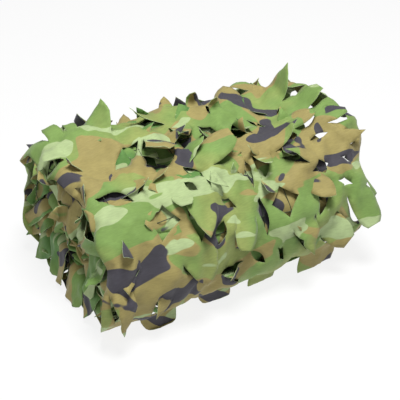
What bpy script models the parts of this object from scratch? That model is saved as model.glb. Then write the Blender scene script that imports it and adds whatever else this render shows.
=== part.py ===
"""A leaf-cut camouflage net, rolled up into a bundle that lies on its flattened underside.

The garnish is one long printed cloth. Its outer turn is a single ply, cut through by the leaf cuts,
and its inner turns are the same cloth folded lengthwise into a band and wound up inside.
A square-meshed string net, which carries the garnish, lies between the outer turn and the next one.

The cloth is drawn flat, cut there, and then wound onto the roll. A place on the flat cloth is
(along, around): along the roll from its middle, towards +X, and around it from under the roll's
middle, up the back (+Y), over the top and down the front (-Y). Flat measures are in millimetres.
"""

import math
import random
from collections import namedtuple

import bmesh
import bpy
from mathutils import Vector
from mathutils.geometry import delaunay_2d_cdt

MM = 0.001

# Driving dimensions of the roll, in millimetres.
ROLL_DEEP = 260.0
ROLL_TALL = 198.0
ROLL_SQUARENESS = 2.5
ROLL_SAG = 2.0
ROLL_LEAN = 0.12
STRAIGHT_LEFT = 186.0
STRAIGHT_RIGHT = 188.0
END_ROUNDING = 26.0

# The cloth and how it is wound.
PLY = 3.0
BAND = 15.0
BAND_LEFT = -184.0
BAND_RIGHT = 158.0
FIRST_BAND_DEPTH = 12.0
BULGE = 20.0
TURN_PITCH = 20.0
BAND_TURNS = 4
CORE_FILL = 12.0
CORE_DEPTH = 97.3
STEP_LONG = 60.0
LOOSE_END = -34.0
CRUMPLE = 3.0

# The string net.
STRING = 2.0
STRING_CLEAR = 0.3
STRING_MESH = 80.0
STRING_FIRST = -106.0
STRING_LINES = 4
STRING_FIRST_STATION = 3
STRING_EVERY_STATION = 3

# How finely the solids are drawn.
SECTION_STEPS = 1440
STATIONS = 26
BAND_COLUMNS = 6
GRID_ALONG = 24.0
GRID_AROUND = 17.0
GRID_CLEAR = 8.0
CUT_CLEAR = 2.4

COLOURS = {
    "garnish_cloth": ((0.29, 0.42, 0.17, 1.0), 0.8),
    "string_net": ((0.35, 0.38, 0.24, 1.0), 0.9),
}

# A leaf is a tongue of cloth, cut out on all sides but its root. heading is the way it points on
# the flat cloth, in degrees from along towards around. lift is how far it stands up at its root and
# curl how much further it bends to its tip, both in degrees.
Leaf = namedtuple("Leaf", "name along around heading long wide tip lift curl")
LEAVES = [
    # the back edge of the top, from left to right
    Leaf("end_loop_left", -178, 318, -90, 44, 22, "round", 88, -120),
    Leaf("end_loop_right", -153, 318, -92, 38, 18, "round", 86, -120),
    Leaf("tan_stand", -124, 322, -40, 44, 44, "point", 58, 6),
    Leaf("small_stand", -66, 294, -70, 24, 20, "point", 50, 0),
    Leaf("slate_flap", -28, 322, 176, 50, 34, "point", 14, 6),
    Leaf("tan_tongue", 0, 298, -70, 26, 22, "round", 78, 8),
    Leaf("curl_low", 32, 324, -92, 32, 24, "round", 62, 95),
    Leaf("curl_high", 46, 358, -88, 30, 20, "round", 55, 95),
    Leaf("hill", 82, 336, -72, 34, 42, "round", 20, -8),
    Leaf("arch", 132, 320, -130, 44, 28, "round", 66, -120),
    Leaf("top_point", 148, 352, 6, 48, 42, "point", 66, 8),
    # the top, towards the front
    Leaf("end_flap", -186, 347, 178, 24, 24, "square", 20, 8),
    Leaf("slate_u", -58, 376, 119, 58, 42, "round", 18, 10),
    Leaf("tan_triangle", -12, 352, 106, 54, 32, "point", 16, 4),
    Leaf("tan_leaf", -25, 432, -10, 50, 38, "square", 18, 4),
    Leaf("back_square", 166, 392, 2, 32, 30, "square", 26, 0),
    Leaf("corner_tan", 180, 428, 16, 28, 26, "square", 16, 4),
    Leaf("hump_leaf", 130, 417, 12, 38, 28, "round", 34, -40),
    Leaf("green_star", 76, 439, 0, 54, 36, "point", 22, 6),
    # the front
    Leaf("rolled_leaf", 56, 450, 99, 34, 24, "round", 20, 30),
    Leaf("slate_leaf", -32, 463, 62, 28, 22, "point", 16, 4),
    Leaf("middle_point", -58, 491, 113, 47, 46, "point", 18, 6),
    Leaf("olive_tongue", 118, 476, 196, 36, 22, "point", 20, 6),
    Leaf("strap", -2, 522, 105, 45, 32, "square", 20, 10),
    Leaf("right_round", 193, 466, 2, 28, 22, "point", 16, -6),
    Leaf("right_hang", 182, 536, 76, 56, 40, "square", 14, 12),
    Leaf("star_point", 81, 549, 80, 47, 42, "point", 26, 6),
    Leaf("square_leaf", 126, 570, 44, 45, 42, "square", 18, 6),
    Leaf("envelope", -80, 549, 84, 43, 52, "point", 34, -40),
    Leaf("tan_side", -12, 598, -165, 38, 26, "point", 20, 8),
    # the lower front, down to the floor
    Leaf("corner_long", -190, 560, 95, 66, 32, "point", 30, -14),
    Leaf("green_tip", -128, 590, 128, 34, 24, "point", 22, 10),
    Leaf("foot_left", -132, 628, 90, 54, 54, "round", 58, 20),
    Leaf("foot_small", -40, 634, 90, 48, 50, "round", 58, 18),
    Leaf("foot_middle", 42, 634, 90, 54, 48, "round", 60, 18),
    Leaf("foot_right", 130, 622, 90, 60, 64, "square", 50, 14),
    # the left end
    Leaf("slate_strip", -190, 182, 264, 60, 16, "square", 56, 4),
    Leaf("end_tan", -184, 112, 262, 32, 26, "square", 44, 8),
]

# A slot is a cut that has been pulled open. shape is "lens" or "diamond".
Slot = namedtuple("Slot", "name along around heading long wide shape")
SLOTS = [
    Slot("top_left_arc", -111, 386, 145, 64, 22, "lens"),
    Slot("smile", -161, 449, 24, 48, 22, "lens"),
    Slot("smile_end", -122, 446, -34, 25, 5, "lens"),
    Slot("left_slit", -193, 418, 72, 24, 5, "lens"),
    Slot("olive_window", -114, 498, 112, 49, 42, "diamond"),
    Slot("top_dark", 18, 382, 67, 40, 13, "diamond"),
    Slot("chin_gap", -46, 446, 62, 32, 12, "lens"),
    Slot("chin_low", -62, 468, 65, 20, 8, "lens"),
    Slot("dark_patch", -18, 501, 41, 26, 12, "diamond"),
    Slot("dark_side", -42, 532, 118, 32, 9, "lens"),
    Slot("crevice", 29, 468, 94, 50, 15, "lens"),
    Slot("crevice_low", 27, 531, 93, 51, 12, "lens"),
    Slot("rear_gap", 90, 391, 57, 33, 8, "lens"),
    Slot("rear_slit", 106, 372, 44, 30, 6, "lens"),
    Slot("rear_hollow", 132, 388, 118, 24, 9, "lens"),
    Slot("hump_gap", 156, 452, -4, 32, 9, "lens"),
    Slot("slate_window", 134, 494, -10, 34, 20, "diamond"),
    Slot("see_through", 180, 494, 31, 24, 11, "diamond"),
    Slot("see_low", 163, 523, 30, 24, 10, "diamond"),
    Slot("long_window", 125, 532, 131, 50, 13, "lens"),
    Slot("string_window", 62, 520, 97, 40, 38, "diamond"),
    Slot("strap_gap", 12, 584, 45, 28, 12, "lens"),
    Slot("small_window", 48, 590, 60, 34, 12, "diamond"),
]

# Soft hills on the outer turn: where its layers stand up, and how high.
Hill = namedtuple("Hill", "along around reach high")
HILLS = [
    Hill(-150, 300, 70, 12),
    Hill(-100, 340, 60, 7),
    Hill(-150, 430, 60, 5),
    Hill(-60, 470, 45, 8),
    Hill(45, 400, 50, 9),
    Hill(60, 300, 60, 4),
    Hill(145, 320, 60, 9),
    Hill(200, 400, 62, 16),
    Hill(110, 500, 60, 6),
    Hill(-90, 580, 55, 9),
    Hill(60, 590, 60, 7),
    Hill(-60, 190, 80, 8),
    Hill(100, 150, 80, 9),
]

# How far each leaf lifts the cloth at its own root.
ROOT_HILL = 5.0
ROOT_HILL_REACH = 26.0

# Shares of its length at which a leaf has a point on its middle line.
RIB = (0.25, 0.55)

# The share of its greatest half width that a leaf has at shares of its length.
PROFILES = {
    "round": [(0.0, 1.0), (0.42, 1.02), (0.82, 0.68), (1.0, 0.0)],
    "point": [(0.0, 1.0), (0.38, 0.84), (0.72, 0.44), (1.0, 0.0)],
    "square": [(0.0, 1.0), (0.5, 1.04), (0.88, 0.9), (1.0, 0.55)],
}

# The leaves that the loop adds at the back, where nothing else is placed.
BACK_ROWS = (80.0, 138.0, 196.0)
BACK_COLUMNS = (-132.0, -66.0, 0.0, 66.0, 132.0)
BACK_SEED = 7


def mix(low, high, share):
    return low + (high - low) * share


def soft_step(share):
    share = min(1.0, max(0.0, share))
    return share * share * (3.0 - 2.0 * share)


def section_table():
    """(points, length) of the roll's outer section, evenly spaced around it from under its middle."""
    drawn = []
    for step in range(SECTION_STEPS + 1):
        turn = 2.0 * math.pi * step / SECTION_STEPS - math.pi / 2.0
        power = 2.0 / ROLL_SQUARENESS
        across = math.copysign(abs(math.cos(turn)) ** power, math.cos(turn))
        up = math.copysign(abs(math.sin(turn)) ** power, math.sin(turn))
        high = ROLL_TALL / 2.0 * (1.0 + up)
        high += ROLL_LEAN * ROLL_DEEP / 2.0 * across * high / ROLL_TALL - ROLL_SAG
        drawn.append((ROLL_DEEP / 2.0 * across, max(high, 0.0)))
    reached = [0.0]
    for before, after in zip(drawn, drawn[1:]):
        reached.append(reached[-1] + math.dist(before, after))
    even = []
    index = 0
    for step in range(SECTION_STEPS):
        wanted = reached[-1] * step / SECTION_STEPS
        while reached[index + 1] < wanted:
            index += 1
        share = (wanted - reached[index]) / max(reached[index + 1] - reached[index], 1e-9)
        before, after = drawn[index], drawn[index + 1]
        even.append((mix(before[0], after[0], share), mix(before[1], after[1], share)))
    return even, reached[-1]


SECTION, GIRTH = section_table()


def section(around):
    """The outer section's place and outward normal at a distance around the roll."""
    step = (around % GIRTH) / GIRTH * SECTION_STEPS
    index = int(step)
    share = step - index
    before = SECTION[index % SECTION_STEPS]
    after = SECTION[(index + 1) % SECTION_STEPS]
    wide = SECTION[(index - 6) % SECTION_STEPS], SECTION[(index + 7) % SECTION_STEPS]
    run, rise = wide[1][0] - wide[0][0], wide[1][1] - wide[0][1]
    size = math.hypot(run, rise)
    place = mix(before[0], after[0], share), mix(before[1], after[1], share)
    return place, (rise / size, -run / size)


def crumple(along, around):
    """How far every layer is pushed in or out by the folds that gather towards the left end."""
    wave = math.sin(around / 15.0 + 0.8) + 0.6 * math.sin(around / 27.0)
    lifted = soft_step((min(around % GIRTH, GIRTH - around % GIRTH) - 40.0) / 60.0)
    return CRUMPLE * wave * lifted * soft_step((-along - 150.0) / 60.0)


def bulge(around):
    """The share by which the roll's left end stands out: all of it low down, and none at the top."""
    return 0.5 + 0.5 * math.cos(2.0 * math.pi * (around - 20.0) / GIRTH)


def flare(around):
    """The share by which the outer turn's right border stands out instead of bending in."""
    high = math.exp(-(((around - 458.0) / 26.0) ** 2))
    return 0.9 * high + 0.35 * math.exp(-(((around - 560.0) / 50.0) ** 2))


def on_roll(along, around, depth, rise=0.0, tuck=1.0):
    """The place in space, in millimetres, of a point of cloth. depth is how far it lies inside the
    roll's outer surface, and rise how far it stands out again, square to that surface. tuck is the
    share of the cloth past the straight part that bends in over the roll's end."""
    rise += crumple(along, around) * (1.0 - depth / (ROLL_TALL / 2.0))
    (across, high), (out_y, out_z) = section(around)
    straight_part = STRAIGHT_RIGHT if along > 0.0 else STRAIGHT_LEFT
    tuck *= 1.0 - (flare(around) if along > 0.0 else bulge(around))
    past = max(abs(along) - straight_part, 0.0)
    bend = min(past * tuck / END_ROUNDING, math.pi / 2.0)
    inside = depth * math.cos(bend) + END_ROUNDING * (1.0 - math.cos(bend))
    inside += max(past * tuck - END_ROUNDING * math.pi / 2.0, 0.0)
    middle = (ROLL_TALL - ROLL_SAG) / 2.0
    across *= 1.0 - inside / (ROLL_DEEP / 2.0)
    high = middle + (high - middle) * (1.0 - inside / (ROLL_TALL / 2.0))
    straight = min(abs(along), straight_part) + past * (1.0 - tuck)
    straight += (END_ROUNDING - depth + rise) * math.sin(bend)
    out = rise * math.cos(bend)
    return Vector(
        (
            math.copysign(straight, along),
            across + out_y * out,
            max(high + out_z * out, depth),
        )
    )


def rise_at(along, around):
    """How far the outer turn stands out from the roll's outer surface."""
    high = sum(
        hill.high * math.exp(-math.dist((along, around), hill[:2]) ** 2 / hill.reach**2)
        for hill in HILLS
    )
    high += sum(
        ROOT_HILL * math.exp(-math.dist((along, around), leaf[1:3]) ** 2 / ROOT_HILL_REACH**2)
        for leaf in ALL_LEAVES
    )
    high += 1.6 + 1.6 * math.sin(along / 23.0 + around / 31.0)
    under = min(around, GIRTH - around)
    return high * soft_step((under - 70.0) / 60.0)


def back_leaves():
    """Leaves in staggered rows up the back of the roll, each turned and sized a little differently."""
    uneven = random.Random(BACK_SEED)
    made = []
    for row, around in enumerate(BACK_ROWS):
        for column, along in enumerate(BACK_COLUMNS):
            heading = 90.0 if (row + column) % 2 else -90.0
            reach = 20.0 if heading > 0 else -20.0
            made.append(
                Leaf(
                    f"back_{row}_{column}",
                    along + uneven.uniform(-6, 6),
                    around - reach + uneven.uniform(-3, 3),
                    heading + uneven.uniform(-16, 16),
                    uneven.uniform(38, 44),
                    uneven.uniform(38, 46),
                    uneven.choice(("round", "point", "square")),
                    uneven.uniform(14, 40),
                    uneven.uniform(-20, 30),
                )
            )
    return made


ALL_LEAVES = LEAVES + back_leaves()


def flat_place(piece, forward, aside):
    """Where a point of a leaf or slot, measured from its root, is on the flat cloth."""
    turn = math.radians(piece.heading)
    return (
        piece.along + forward * math.cos(turn) - aside * math.sin(turn),
        piece.around + forward * math.sin(turn) + aside * math.cos(turn),
    )


def leaf_outline(leaf, clear):
    """The leaf's outline from its root round its tip and back, as (forward, aside). clear is how far
    the outline stays inside the cut."""
    side = []
    for share, half in PROFILES[leaf.tip]:
        forward = share * (leaf.long - clear)
        aside = half * leaf.wide / 2.0 - (clear if 0.0 < share else 0.0)
        side.append((forward, max(aside, 0.0)))
    far = [(forward, -aside) for forward, aside in reversed(side) if aside > 0.0]
    return side + far


def slot_outline(slot):
    """The slot's outline as (forward, aside), measured from its middle."""
    half, wide = slot.long / 2.0, slot.wide / 2.0
    if slot.shape == "diamond":
        return [(half, 0.0), (half * 0.1, wide), (-half, wide * 0.1), (-half * 0.2, -wide)]
    shares = (-0.5, 0.0, 0.5)
    upper = [(-share * 2.0 * half * 0.6, wide * math.cos(share * 1.8)) for share in shares]
    lower = [(forward, -aside) for forward, aside in reversed(upper)]
    return [(half, 0.0), *upper, (-half, 0.0), *lower]


def reach_left(around):
    """How far the outer turn reaches past the roll's middle at its left end."""
    flap = math.exp(-(((around - 332.0) / 24.0) ** 2))
    back = 1.0 - soft_step((around - 250.0) / 60.0)
    corner = math.exp(-(((around - 600.0) / 50.0) ** 2))
    ragged = 4.0 * math.sin(around / 19.0) + 3.0 * math.sin(around / 11.0 + 1.0)
    low = math.exp(-((min(around, GIRTH - around) / 90.0) ** 2))
    return 204.0 + 24.0 * flap + 9.0 * back + 16.0 * corner - 14.0 * low + ragged * (0.3 + back)


def reach_right(around):
    """How far the outer turn reaches past the roll's middle at its right end."""
    ragged = 4.0 * math.sin(around / 21.0 + 2.0) + 3.0 * math.sin(around / 13.0)
    return 220.0 + ragged + 16.0 * math.exp(-(((around - 462.0) / 20.0) ** 2))


def band_left(around):
    """How far to the left the band reaches: its turns stand out of the roll low at the front."""
    ragged = 5.0 * math.sin(around / 17.0) * soft_step((around - GIRTH) / 90.0)
    return BAND_LEFT - BULGE * bulge(around) - ragged


def inside(point, outline):
    """Whether a point of the flat cloth is inside a closed outline."""
    found = False
    for (x0, y0), (x1, y1) in zip(outline, outline[1:] + outline[:1]):
        if (y0 > point[1]) != (y1 > point[1]):
            found ^= point[0] < x0 + (x1 - x0) * (point[1] - y0) / (y1 - y0)
    return found


def gap_to(point, outline):
    """The distance from a point of the flat cloth to a closed outline."""
    nearest = math.inf
    for (x0, y0), (x1, y1) in zip(outline, outline[1:] + outline[:1]):
        run, rise = x1 - x0, y1 - y0
        share = ((point[0] - x0) * run + (point[1] - y0) * rise) / max(run * run + rise * rise, 1e-9)
        share = min(1.0, max(0.0, share))
        nearest = min(nearest, math.dist(point, (x0 + run * share, y0 + rise * share)))
    return nearest


class Sheet:
    """A cloth drawn flat: its points, its triangles, and which points belong to which leaf."""

    def __init__(self):
        self.points = []
        self.on_leaf = {}
        self.edges = []
        self.triangles = []

    def add(self, place, leaf=None):
        self.points.append(place)
        if leaf is not None:
            self.on_leaf[len(self.points) - 1] = leaf
        return len(self.points) - 1

    def loop(self, indices):
        self.edges += list(zip(indices, indices[1:] + indices[:1]))


def band_columns(around):
    """The distances along the roll at which the band's points lie."""
    left = band_left(around)
    return [mix(left, BAND_RIGHT, column / BAND_COLUMNS) for column in range(BAND_COLUMNS + 1)]


def edge_of_outer_turn():
    """The outer turn's outline on the flat cloth, whose last side joins the band."""
    stations = [mix(LOOSE_END, GIRTH, step / STATIONS) for step in range(STATIONS + 1)]
    left, right = [], []
    for around in stations:
        tapered = soft_step(min(around - LOOSE_END, GIRTH - around) / 50.0)
        left.append((mix(band_left(around), -reach_left(around), tapered), around))
        right.append((mix(BAND_RIGHT, reach_right(around), tapered), around))
    near = [(along, LOOSE_END) for along in band_columns(LOOSE_END)[1:-1]]
    far = [(along, GIRTH) for along in reversed(band_columns(GIRTH)[1:-1])]
    return near + right + far + left[::-1]


def outer_turn():
    """The flat outer turn, cut by its leaves and slots."""
    sheet = Sheet()
    border = edge_of_outer_turn()
    sheet.loop([sheet.add(place) for place in border])
    cuts, tongues = [], []
    for number, leaf in enumerate(ALL_LEAVES):
        cut = leaf_outline(leaf, 0.0)
        tongue = leaf_outline(leaf, CUT_CLEAR)
        cut_points = [flat_place(leaf, *point) for point in cut]
        tongue_points = [flat_place(leaf, *point) for point in tongue]
        cuts.append(cut_points)
        tongues.append(tongue_points)
        kept = [sheet.add(place) for place in cut_points]
        sheet.loop(kept)
        free = [sheet.add(place, number) for place in tongue_points[1:-1]]
        sheet.edges += list(zip([kept[0], *free], [*free, kept[-1]]))
        for share in RIB:
            sheet.add(flat_place(leaf, leaf.long * share, 0.0), number)
    slots = []
    for slot in SLOTS:
        slots.append([flat_place(slot, *point) for point in slot_outline(slot)])
        sheet.loop([sheet.add(place) for place in slots[-1]])
    row = 0
    around = LOOSE_END + GRID_AROUND
    while around < GIRTH - GRID_AROUND / 2.0:
        along = -STRAIGHT_LEFT - 60.0 + (row % 2) * GRID_ALONG / 2.0
        while along < STRAIGHT_RIGHT + 60.0:
            place = (along, around)
            outlines = [border, *cuts, *slots]
            if inside(place, border) and all(gap_to(place, line) > GRID_CLEAR for line in outlines):
                if not any(inside(place, line) for line in cuts + slots):
                    sheet.add(place)
            along += GRID_ALONG
        around += GRID_AROUND
        row += 1
    found = delaunay_2d_cdt([Vector(p) for p in sheet.points], sheet.edges, [], 0, 1e-5)
    if len(found[0]) != len(sheet.points):
        raise ValueError("two cuts cross on the flat cloth")
    renamed = [names[0] for names in found[3]]
    for corners in found[2]:
        corners = [renamed[corner] for corner in corners]
        middle = [sum(sheet.points[c][axis] for c in corners) / 3.0 for axis in (0, 1)]
        if not inside(middle, border) or any(inside(middle, line) for line in slots):
            continue
        cut_by = next((n for n, line in enumerate(cuts) if inside(middle, line)), None)
        if cut_by is not None and not inside(middle, tongues[cut_by]):
            continue
        sheet.triangles.append(corners)
    return sheet


def bent(leaf, forward):
    """How far a leaf's middle line has gone forward and up, and its slope, after a length of cloth."""
    steps = 24
    gone, up, slope = 0.0, 0.0, 0.0
    for step in range(steps):
        there = forward * (step + 0.5) / steps
        slope = leaf.lift * (1.0 - math.exp(-there / 7.0)) + leaf.curl * there / leaf.long
        gone += math.cos(math.radians(slope)) * forward / steps
        up += math.sin(math.radians(slope)) * forward / steps
    return gone, up, math.radians(slope)


def leaf_points(leaf, place):
    """The outer and inner points of a leaf's cloth at a place on the flat cloth. The leaf follows the
    roll below it, and rises from it as it bends."""
    turn = math.radians(leaf.heading)
    run, rise = place[0] - leaf.along, place[1] - leaf.around
    forward = run * math.cos(turn) + rise * math.sin(turn)
    aside = -run * math.sin(turn) + rise * math.cos(turn)
    gone, up, slope = bent(leaf, forward)
    near, ahead, beside = (
        on_roll(*there, PLY / 2.0, rise_at(*there))
        for there in (
            flat_place(leaf, gone, aside),
            flat_place(leaf, gone / 2.0 + 1.0, 0.0),
            flat_place(leaf, gone / 2.0, 1.0),
        )
    )
    here = flat_place(leaf, gone / 2.0, 0.0)
    middle = on_roll(*here, PLY / 2.0, rise_at(*here))
    ahead = (ahead - middle).normalized()
    out = -ahead.cross((beside - middle).normalized()).normalized()
    centre = near + out * up
    square = out * math.cos(slope) - ahead * math.sin(slope)
    outer, inner = centre + square * (PLY / 2.0), centre - square * (PLY / 2.0)
    lowest = min(outer.z, inner.z, 0.0)
    outer.z -= lowest
    inner.z -= lowest
    return outer, inner


def band_depth(around):
    """How deep the band's outer face lies at a distance around, counted through all its turns. The
    loose end, before the first turn's start, lies on the outside."""
    if around < 0.0:
        return 0.0
    turn = int(around // GIRTH)
    before = 0.0 if turn == 0 else FIRST_BAND_DEPTH + TURN_PITCH * (turn - 1)
    after = FIRST_BAND_DEPTH + TURN_PITCH * turn
    return mix(before, after, soft_step(1.0 - (GIRTH - around % GIRTH) / STEP_LONG))


def sheet_points(place):
    """The outer and inner points of the cloth at a place that is on no leaf."""
    along, around = place
    depth = band_depth(min(around, GIRTH - 1e-6))
    thick = mix(PLY, BAND, soft_step((around - GIRTH + STEP_LONG) / STEP_LONG))
    rise = rise_at(along, around)
    tuck = soft_step(min(around - LOOSE_END, GIRTH - around) / STEP_LONG)
    return tuple(on_roll(along, around, deep, rise, tuck) for deep in (depth, depth + thick))


def wound_band(sheet, outer, inner):
    """Adds the inner turns to the outer one, from the side of its outline that they join. The last
    turn is thicker, so that it fills the roll's core."""
    row = [index for index, place in enumerate(sheet.points) if place[1] > GIRTH - 1e-6]
    row.sort(key=lambda index: sheet.points[index][0])
    for step in range(1, STATIONS * BAND_TURNS + 1):
        around = GIRTH + GIRTH * step / STATIONS
        depth = band_depth(around - (1e-6 if step % STATIONS == 0 else 0.0))
        in_core = soft_step(4.0 * (step / STATIONS - BAND_TURNS + 1.0))
        under = min(depth + BAND + CORE_FILL * in_core, CORE_DEPTH)
        following = []
        for along in band_columns(around):
            following.append(sheet.add((along, around)))
            outer.append(on_roll(along, around, depth, tuck=0.0))
            inner.append(on_roll(along, around, under, tuck=0.0))
        for a, b, c, d in zip(row, row[1:], following[1:], following):
            sheet.triangles += [[a, b, c], [a, c, d]]
        row = following


def thickened(name, outer, inner, triangles):
    """An object from a sheet's two faces, closed along its edges."""
    count = len(outer)
    mesh = bpy.data.meshes.new(name)
    built = bmesh.new()
    corners = [built.verts.new(point * MM) for point in [*outer, *inner]]
    directed = set()
    for a, b, c in triangles:
        built.faces.new((corners[a], corners[b], corners[c]))
        built.faces.new((corners[c + count], corners[b + count], corners[a + count]))
        directed |= {(a, b), (b, c), (c, a)}
    for a, b in directed:
        if (b, a) not in directed:
            built.faces.new((corners[b], corners[a], corners[a + count], corners[b + count]))
    used = [vertex for vertex in built.verts if vertex.link_faces]
    bmesh.ops.delete(built, geom=[v for v in built.verts if v not in set(used)], context="VERTS")
    bmesh.ops.recalc_face_normals(built, faces=built.faces)
    built.to_mesh(mesh)
    built.free()
    obj = bpy.data.objects.new(name, mesh)
    bpy.context.scene.collection.objects.link(obj)
    return obj


def garnish_cloth():
    """The whole printed cloth: the leaf-cut outer turn, and the band wound up inside it."""
    sheet = outer_turn()
    outer, inner = [], []
    for index, place in enumerate(sheet.points):
        if index in sheet.on_leaf:
            pair = leaf_points(ALL_LEAVES[sheet.on_leaf[index]], place)
        else:
            pair = sheet_points(place)
        outer.append(pair[0])
        inner.append(pair[1])
    wound_band(sheet, outer, inner)
    return thickened("garnish_cloth", outer, inner, sheet.triangles)


def string_net():
    """The square-meshed net of strings that lies on the band's first turn, as one fused piece."""
    half = STRING / 2.0
    lines = [STRING_FIRST + line * STRING_MESH for line in range(STRING_LINES)]
    alongs = sorted(value + side for value in lines for side in (-half, half))
    arounds, is_string = [], []
    for station in range(STRING_FIRST_STATION, STATIONS - 1):
        around = GIRTH * station / STATIONS
        if (station - STRING_FIRST_STATION) % STRING_EVERY_STATION == 0:
            arounds += [around - half, around + half]
            is_string += [True, False]
        else:
            arounds.append(around)
            is_string.append(False)
    low = FIRST_BAND_DEPTH - STRING_CLEAR
    outer, inner, triangles = [], [], []
    for around in arounds:
        for along in alongs:
            outer.append(on_roll(along, around, low - STRING))
            inner.append(on_roll(along, around, low))
    wide = len(alongs)
    for row in range(len(arounds) - 1):
        for column in range(wide - 1):
            if column % 2 == 0 or is_string[row]:
                a = row * wide + column
                triangles += [[a, a + 1, a + 1 + wide], [a, a + 1 + wide, a + wide]]
    return thickened("string_net", outer, inner, triangles)


def finish(obj):
    """Gives an object its colour, and shades it smooth where it is rounded."""
    colour, roughness = COLOURS[obj.name]
    material = bpy.data.materials.new(obj.name)
    material.use_nodes = True
    shader = material.node_tree.nodes["Principled BSDF"]
    shader.inputs["Base Color"].default_value = colour
    shader.inputs["Roughness"].default_value = roughness
    obj.data.materials.append(material)
    obj.data.shade_smooth()
    obj.data.set_sharp_from_angle(angle=math.radians(50))


def main():
    for obj in list(bpy.data.objects):
        bpy.data.objects.remove(obj, do_unlink=True)
    for obj in (garnish_cloth(), string_net()):
        finish(obj)


main()
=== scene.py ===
"""A leaf-cut camouflage net rolled into a bundle: its cloth, its strings and their finish.

The cloth is drawn flat, cut there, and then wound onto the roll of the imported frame. A place on the
flat cloth is (along, around): along the roll from its middle, towards +X, and around it from under
the roll's middle, up the back (+Y), over the top and down the front (-Y). Flat measures are in
millimetres, and the meshes are in metres.
"""

import math
import random
from collections import namedtuple

import bpy
import numpy as np
from bpy.props import FloatProperty, FloatVectorProperty, IntProperty, PointerProperty
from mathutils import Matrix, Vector, noise
from mathutils.geometry import delaunay_2d_cdt
from mathutils.kdtree import KDTree


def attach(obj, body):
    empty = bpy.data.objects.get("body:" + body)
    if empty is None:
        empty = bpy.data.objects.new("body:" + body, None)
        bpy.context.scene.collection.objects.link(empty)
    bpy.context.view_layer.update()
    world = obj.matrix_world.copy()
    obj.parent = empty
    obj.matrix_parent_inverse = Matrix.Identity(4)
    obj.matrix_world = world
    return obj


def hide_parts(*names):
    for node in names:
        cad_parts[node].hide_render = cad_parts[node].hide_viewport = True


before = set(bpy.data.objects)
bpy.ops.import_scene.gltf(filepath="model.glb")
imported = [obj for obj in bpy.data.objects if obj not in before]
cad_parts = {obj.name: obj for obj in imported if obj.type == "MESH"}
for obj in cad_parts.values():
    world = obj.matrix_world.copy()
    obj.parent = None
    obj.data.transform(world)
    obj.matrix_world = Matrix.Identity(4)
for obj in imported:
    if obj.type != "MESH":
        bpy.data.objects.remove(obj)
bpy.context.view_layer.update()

bl_info = {
    "name": "Rolled camouflage net",
    "version": (1, 0, 0),
    "blender": (4, 5, 0),
    "location": "View3D > Sidebar > Camouflage net",
    "description": "Makes the cloth, the strings and the stage of a rolled, leaf-cut camouflage net",
    "category": "Object",
}

MM = 0.001

# The roll's outer section, in millimetres, as its solids have it: a squared oval that sags onto the
# floor and leans towards the back. ROLL_SQUARENESS is 2 for an ellipse, and more for squarer sides.
ROLL_DEEP = 260.0
ROLL_TALL = 198.0
ROLL_SQUARENESS = 2.5
ROLL_SAG = 2.0
ROLL_LEAN = 0.12
SECTION_STEPS = 1440

# The outer turn: how far it runs straight from the roll's middle, how far its ragged borders reach
# on average, the radius by which it bends in over the ends, its solid's thickness, and where its
# inner edge lies under the roll.
STRAIGHT_LEFT = 186.0
STRAIGHT_RIGHT = 188.0
REACH_LEFT = 204.0
REACH_RIGHT = 220.0
END_ROUNDING = 26.0
PLY = 3.0
LOOSE_END = -34.0

# The inner turns: their two ends, the depth of the first and of each further one, how many there
# are, and the length over which the cloth steps down from one turn to the next.
BAND_LEFT = -184.0
BAND_RIGHT = 158.0
FIRST_BAND_DEPTH = 12.0
TURN_PITCH = 20.0
BAND_TURNS = 4
STEP_LONG = 60.0

# How far the left end bulges, and how deep the folds are that gather towards it.
BULGE = 20.0
CRUMPLE = 3.0

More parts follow.
